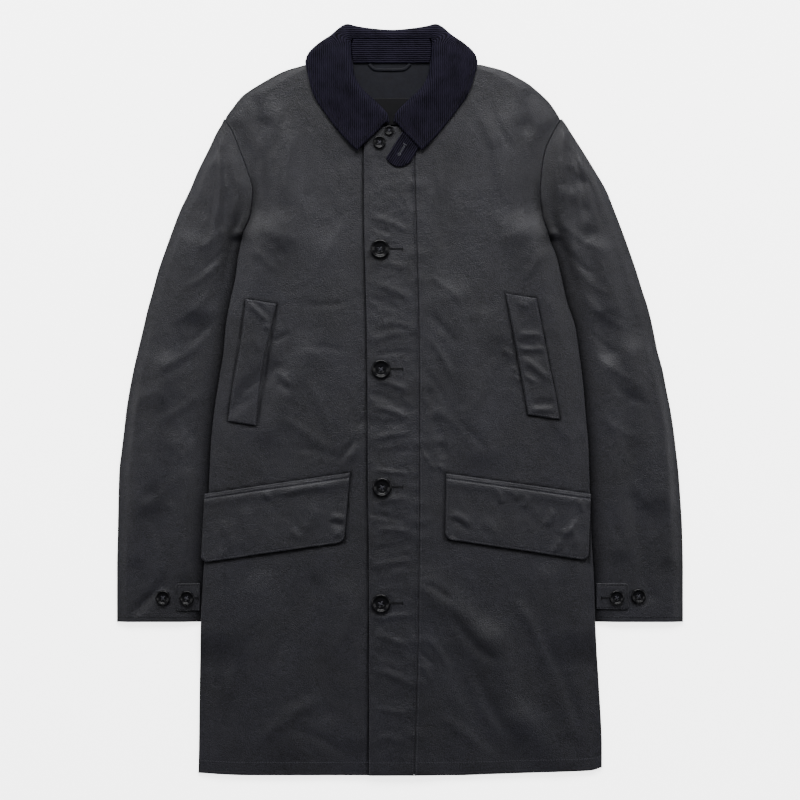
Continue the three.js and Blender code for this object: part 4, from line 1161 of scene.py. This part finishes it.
def buttonPiece(node, x, y, radius, height, turn, base):
    profile = centripetal(buttonProfile, np.linspace(0, 1, buttonLook["rings"]))[:-1]
    angle = np.arange(buttonLook["spokes"]) * 2 * math.pi / buttonLook["spokes"]
    r = profile[:, :1] * radius * np.ones(len(angle))
    px, py = r * np.cos(angle), r * np.sin(angle)
    pz = profile[:, 1:] * height * np.ones(len(angle))
    dished = (profile[:, :1] < 0.5) * (profile[:, 1:] > 0.3)
    out = buttonLook["holeOut"] * radius
    for quarter in range(4):
        place = turn + math.pi / 4 + quarter * math.pi / 2
        away = np.hypot(px - out * math.cos(place), py - out * math.sin(place))
        hole = smoothStep(1.5 - away / (buttonLook["holeRadius"] * radius))
        pz = pz - dished * buttonLook["holeDepth"] * height * hole
    points = np.stack([px + x, py + y, pz + base], 2).reshape(-1, 3)
    middleUp, middleDown = len(points), len(points) + 1
    points = np.concatenate([points, [[x, y, base + buttonProfile[-1][1] * height], [x, y, base]]])
    spokes, last = len(angle), middleUp - len(angle)
    faces = []
    for k in range(spokes):
        after = (k + 1) % spokes
        faces += [[ring + k, ring + after, ring + spokes + after, ring + spokes + k]
                  for ring in range(0, last, spokes)]
        faces += [[last + k, last + after, middleUp], [after, k, middleDown]]
    mesh = bpy.data.meshes.new("resin_" + node)
    mesh.from_pydata((points * mm).tolist(), [], faces)
    mesh.materials.append(buttonResin)
    mesh.shade_smooth()
    piece = addObject("resin_" + node, mesh)
    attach(piece, "root")
    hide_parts(node)


buttonSizes = {"front": (12.4, 4.6), "cuff": (9.6, 3.8), "neck": (8.3, 3.0), "latch": (6, 3.0)}
buttonRows = [(f"front_button_{k + 1}", *place, "front", placketTop) for k, place in enumerate(frontButtons)]
buttonRows += [
    ("placket_top_button", -26.5, 329.5, "neck", placketTop),
    ("latch_button", -14, 344.6, "latch", placketTop),
    ("cuff_button_right", -272.6, -253.1, "cuff", partial(tabTop, "right")),
    ("cuff_button_left", 276.9, -252.7, "cuff", partial(tabTop, "left")),
    ("spare_cuff_button_right", -303.4, -252.9, "cuff", partial(sleeveTop, "right")),
    ("spare_cuff_button_left", 305.2, -250.9, "cuff", partial(sleeveTop, "left")),
]
threadPlaces = []
for k, (node, bx, by, size, face) in enumerate(buttonRows):
    radius, height = buttonSizes[size]
    angle = np.linspace(0, 2 * math.pi, 24, endpoint=False)
    rim = face(bx + 0.75 * radius * np.cos(angle), by + 0.75 * radius * np.sin(angle))
    base = max(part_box(node)[0][2] / mm, float(rim.max()) + 0.1)
    turn = 0.35 * math.sin(2.3 * k + 0.6)
    buttonPiece(node, bx, by, radius, height, turn, base)
    threadPlaces.append((bx, by, base + 0.5 * height, radius, turn))
print("buttons made")


# Sewing. A row of stitches is a path on a face; Geometry Nodes set a thread along it, one
# stitch apart from the next
stitchLook = {"pitch": 3.3, "length": 2.5, "thread": 0.95, "proud": 0.02}


def onFace(path, face, cell=1.1):
    # points along a plan path, laid on a face
    path = np.asarray(path, float)
    step = np.linalg.norm(np.diff(path, axis=0), axis=1)
    far = np.concatenate([[0], step.cumsum()])
    places = np.linspace(0, far[-1], max(int(far[-1] / cell), 2))
    x, y = np.interp(places, far, path[:, 0]), np.interp(places, far, path[:, 1])
    return np.stack([x, y, face(x, y) + stitchLook["proud"]], 1)


def inset(corners, distance, radius):
    # an open path through corners, moved in to its left, with each inner corner rounded
    corners = np.asarray(corners, float)
    run = np.diff(corners, axis=0)
    run /= np.linalg.norm(run, axis=1, keepdims=True)
    left = np.stack([-run[:, 1], run[:, 0]], 1)
    points = [corners[0] + left[0] * distance]
    for k in range(1, len(run)):
        bisect = left[k - 1] + left[k]
        corner = corners[k] + bisect * distance / (1 + float(left[k - 1] @ left[k]))
        cut = radius * math.tan(math.acos(np.clip(run[k - 1] @ run[k], -1, 1)) / 2)
        start, end = corner - run[k - 1] * cut, corner + run[k] * cut
        for t in np.linspace(0, 1, 7):
            points.append((1 - t) ** 2 * start + 2 * t * (1 - t) * corner + t * t * end)
    points.append(corners[-1] + left[-1] * distance)
    return np.array(points)


def stitchTree():
    tree = bpy.data.node_groups.new("stitches along a path", "GeometryNodeTree")
    tree.interface.new_socket("Paths", in_out="INPUT", socket_type="NodeSocketGeometry")
    for name in ("Pitch", "Stitch Length", "Thread Width"):
        tree.interface.new_socket(name, in_out="INPUT", socket_type="NodeSocketFloat")
    tree.interface.new_socket("Thread", in_out="INPUT", socket_type="NodeSocketMaterial")
    tree.interface.new_socket("Stitches", in_out="OUTPUT", socket_type="NodeSocketGeometry")
    given = addNode(tree, "NodeGroupInput").outputs
    curve = addNode(tree, "GeometryNodeMeshToCurve", links={"Mesh": given["Paths"]})
    even = addNode(tree, "GeometryNodeResampleCurve", {"mode": "LENGTH"},
                   links={"Curve": curve.outputs["Curve"], "Length": given["Pitch"]})
    bead = addNode(tree, "GeometryNodeMeshUVSphere", inputs={"Segments": 6, "Rings": 5, "Radius": 0.5})
    tangent = addNode(tree, "GeometryNodeInputTangent")
    turn = addNode(tree, "FunctionNodeAlignRotationToVector", {"axis": "Z"},
                   links={"Vector": tangent.outputs["Tangent"]})
    size = addNode(tree, "ShaderNodeCombineXYZ", links={
        "X": given["Thread Width"], "Y": given["Thread Width"], "Z": given["Stitch Length"]})
    placed = addNode(tree, "GeometryNodeInstanceOnPoints", links={
        "Points": even.outputs["Curve"], "Instance": bead.outputs["Mesh"],
        "Rotation": turn.outputs["Rotation"], "Scale": size.outputs["Vector"]})
    real = addNode(tree, "GeometryNodeRealizeInstances", links={"Geometry": placed.outputs["Instances"]})
    dyed = addNode(tree, "GeometryNodeSetMaterial", links={
        "Geometry": real.outputs["Geometry"], "Material": given["Thread"]})
    result = addNode(tree, "NodeGroupOutput")
    tree.links.new(dyed.outputs["Geometry"], result.inputs["Stitches"])
    return tree


def stitchRows(name, rows, look, thread):
    # rows of stitches along paths, as one plain mesh
    points = np.concatenate(rows) * mm
    ends = np.cumsum([len(row) for row in rows])
    edges = [(k, k + 1) for k in range(len(points) - 1) if k + 1 not in ends]
    mesh = bpy.data.meshes.new(name + " paths")
    mesh.from_pydata(points.tolist(), edges, [])
    paths = addObject(name + " paths", mesh)
    tree = stitchTree()
    sewing = paths.modifiers.new("stitches", "NODES")
    sewing.node_group = tree
    values = {"Pitch": look["pitch"] * mm, "Stitch Length": look["length"] * mm,
              "Thread Width": look["thread"] * mm, "Thread": thread}
    for item in tree.interface.items_tree:
        if item.in_out == "INPUT" and item.name in values:
            sewing[item.identifier] = values[item.name]
    sewn = bpy.data.meshes.new_from_object(paths.evaluated_get(bpy.context.evaluated_depsgraph_get()))
    paths.modifiers.remove(sewing)
    bpy.data.objects.remove(paths)
    sewn.name = name
    sewn.shade_smooth()
    piece = addObject(name, sewn)
    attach(piece, "root")
    print(f"{name}: {len(sewn.polygons)} faces")


def hemY(x, up):
    return body["hemY"] + up + smoothCurve(hemLine, "x", "rise", x) * (1 - smoothStep(up / 60))


seamRows = {"placket": [], "fronts": [], "sleeves": [], "pockets": [], "neck": []}
sewLook = {"hemUp": 16.7, "cuffUp": 6, "beside": 2.6, "atEdge": 0.9, "weltIn": 2.3, "endShort": 3,
           "collarIn": 5}


def sew(where, path, face):
    seamRows[where].append(onFace(path, face))


# the placket: a row on each side of its seam and one along its free edge
seamYs = np.linspace(338, body["hemY"] + 3, 400)
for off, where, face in ((-1, "placket", placketTop), (1, "fronts", leftFrontTop)):
    sew(where, np.stack([placketX("seam", seamYs) + off * sewLook["beside"], seamYs], 1), face)
freeYs = np.linspace(346, body["hemY"] + 3, 400)
sew("placket", np.stack([placketX("free", freeYs) + sewLook["atEdge"], freeYs], 1), placketTop)
hems = [("fronts", -256, -42, frontTop), ("placket", -38, 15, placketTop), ("fronts", 21, 256, leftFrontTop)]
for where, x0, x1, face in hems:
    across = np.linspace(x0, x1, 60)
    sew(where, np.stack([across, hemY(across, sewLook["hemUp"])], 1), face)
for side, out in outward.items():
    y = body["cuffY"] + sewLook["cuffUp"]
    x0, x1 = float(bodyEdge(side, y)), float(smoothCurve(sleeveEdges, "y", side, y))
    sew("sleeves", [(x0 + out * 2, y), (x1 - out * 2, y)], partial(sleeveTop, side))
    # flaps: the row under the seam, and one round the free edges
    (x0, y0), (x1, y1) = flaps[side]["top"]
    y0, y1 = y0 - flapLook["seamDown"], y1 - flapLook["seamDown"]
    sew("pockets", [(x0 + 2, y0), (x1 - 2, y1)], partial(flapTop, side))
    corners = [flaps[side]["top"][0], *flaps[side]["bottom"], flaps[side]["top"][1]]
    free = inset(corners, flapLook["stitchIn"], flapLook["corner"] - flapLook["stitchIn"])
    sew("pockets", free[1:-1], partial(flapTop, side))
    # welts: a row round all four edges
    first, last, short = welts[side]["y"][0], welts[side]["y"][-1], sewLook["endShort"]
    down = np.linspace(first - short, last + short, 60)
    for edge, sign, share in (("outer", -out, 0), ("inner", out, 1)):
        edgeX = weltEdge(side, edge, down) + sign * sewLook["weltIn"]
        sew("pockets", np.stack([edgeX, down - weltSlant[side] * share], 1), partial(weltTop, side))
    for level, shift in ((first, -sewLook["weltIn"]), (last, sewLook["weltIn"])):
        outer, inner = float(weltEdge(side, "outer", level)), float(weltEdge(side, "inner", level))
        ends = [(outer - out * short, level + shift), (inner + out * short, level + shift - weltSlant[side])]
        sew("pockets", ends, partial(weltTop, side))
    # cuff tabs: a row round the free edges
    plan = cuffTabs[side]
    corners = [(plan[across], plan[level]) for across, level in (
        ("inner", "bottom"), ("outer", "bottom"), ("outer", "top"), ("inner", "top"))]
    if plan["outer"] < plan["inner"]:
        corners = corners[::-1]
    sew("sleeves", inset(corners, tabLook["stitchIn"], 3), partial(tabTop, side))

# the collar: a row down each leaf's front edge and on along its free edge to the shoulder
normals = gridNormals(collar)
facing = 1 if normals[40, 30, 2] > 0 else -1
outerSide = collar + normals * facing * (collarLook["wall"] / 2 + stitchLook["proud"])
acrossRun = np.linalg.norm(np.diff(collar[:, ::-1], axis=1), axis=2).cumsum(1)
alongRun = np.linalg.norm(np.diff(collar, axis=0), axis=2).cumsum(0)
cols, seamStart, seamEnd = collar.shape[1], 10, 68
firstRow = int(np.argmax(alongRun[:, cols // 2] > sewLook["collarIn"])) + 1
for face in (outerSide, outerSide[::-1]):
    path = [face[firstRow, col] for col in range(seamStart, cols)
            if acrossRun[firstRow, cols - 1 - col] > sewLook["collarIn"]]
    for row in range(firstRow, seamEnd):
        col = cols - 2 - int(np.argmax(acrossRun[row] > sewLook["collarIn"]))
        if np.linalg.norm(face[row, col] - path[-1]) > 0.5:
            path.append(face[row, col])
    seamRows["neck"].append(np.array(path))

for where, rows in seamRows.items():
    thread = threadCotton if where in ("neck", "sleeves") else seamCotton
    stitchRows(f"stitches_{where}", rows, stitchLook, thread)

# Buttonholes: a row of close stitches down each side of the slit and a bar across its end.
# The latch's hole is cut on the slant, like the tab
holeLook = {"pitch": 0.62, "length": 0.95, "thread": 1.15, "slit": 0.75, "bar": 2.4}


def buttonhole(start, end, face):
    # three short paths round a slit that runs from the button to its end
    start, end = np.array(start, float), np.array(end, float)
    run = (end - start) / np.linalg.norm(end - start)
    side = np.array([-run[1], run[0]])
    slit, bar = side * holeLook["slit"], side * holeLook["bar"]
    return [onFace([start - slit, end - slit], face, 0.5), onFace([start + slit, end + slit], face, 0.5),
            onFace([end - bar, end + bar], face, 0.5)]


holes = []
for bx, by in frontButtons:
    holes += buttonhole((bx + 11.5, by + 0.4), (3.6, by + 0.2), placketTop)
stitchRows("buttonholes_placket", holes, holeLook, threadCotton)
holes = buttonhole((-262.2, -253.6), (-258.2, -253.8), partial(tabTop, "right"))
holes += buttonhole((266.6, -253.2), (257.6, -253.4), partial(tabTop, "left"))
stitchRows("buttonholes_cuffs", holes, holeLook, threadCotton)
eye, eyeRadius = np.array([-1.1, 313.8]), 1.7
ring = np.linspace(0, 2 * math.pi, 20)
holes = buttonhole(eye, (6.6, 326.6), latchTop)
holes.append(onFace(eye + eyeRadius * np.stack([np.cos(ring), np.sin(ring)], 1), latchTop, 0.5))
stitchRows("buttonhole_latch", holes, holeLook, twistCotton)

# Thread in the buttons: two crossed pairs of strands through the four holes
strandLook = {"pitch": 0.35, "length": 0.8, "thread": 0.62, "reach": 0.27, "bow": 0.5, "apart": 0.35}
strands = []
for bx, by, top, radius, turn in threadPlaces:
    for quarter in (0, 1):
        place = turn + math.pi / 4 + quarter * math.pi / 2
        along = np.linspace(-1, 1, 24)
        for shift in (-strandLook["apart"], strandLook["apart"]):
            px = bx + along * strandLook["reach"] * radius * math.cos(place) - shift * math.sin(place)
            py = by + along * strandLook["reach"] * radius * math.sin(place) + shift * math.cos(place)
            pz = top + strandLook["bow"] * (1 - along ** 4) + 0.25 * quarter
            strands.append(np.stack([px, py, pz], 1))
stitchRows("thread_buttons", strands, strandLook, twistCotton)
print("sewing made")


# Stage: a lit white floor, a large soft box past the collar and one on each side
studio = {"floor": 6, "floorGlow": 3, "world": 0.15, "key": 600, "side": 55, "lens": 85, "sensor": 36,
          "frameWidth": 1.024}
edge = studio["floor"]
floorMesh = bpy.data.meshes.new("floor")
floorMesh.from_pydata([(-edge, -edge, 0), (edge, -edge, 0), (edge, edge, 0), (-edge, edge, 0)],
                      [], [(0, 1, 2, 3)])
floorMesh.materials.append(newMaterial("white acrylic floor, lit from below", {
    "Base Color": linear("#f4f4f4"), "Roughness": 0.9,
    "Emission Color": (1, 1, 1, 1), "Emission Strength": studio["floorGlow"]})[0])
floor = addObject("floor", floorMesh)
floor.location.z = -0.0004


def areaLight(name, place, size, power):
    # a soft box aimed at the jacket's middle
    light = bpy.data.lights.new(name, "AREA")
    light.shape = "RECTANGLE"
    light.size, light.size_y = size
    light.energy = power
    lamp = addObject(name, light)
    lamp.location = place
    lamp.rotation_euler = (-Vector(place)).to_track_quat("-Z", "Y").to_euler()


areaLight("soft box, collar end", (0, 3.1, 2.6), (3.9, 1.9), studio["key"])
areaLight("soft box, left", (2.6, 0.2, 1.6), (1.4, 2.4), studio["side"])
areaLight("soft box, right", (-2.6, 0.4, 1.6), (1.4, 2.4), studio["side"])
world = bpy.data.worlds.new("studio")
world.use_nodes = True
sky = world.node_tree.nodes["Background"].inputs
sky["Color"].default_value = (1, 1, 1, 1)
sky["Strength"].default_value = studio["world"]
bpy.context.scene.world = world

cameraData = bpy.data.cameras.new("camera")
cameraData.lens, cameraData.sensor_width = studio["lens"], studio["sensor"]
camera = addObject("camera", cameraData)
camera.location = (0, 0, studio["frameWidth"] * studio["lens"] / studio["sensor"] + 0.008)
bpy.context.scene.camera = camera
print("stage set")
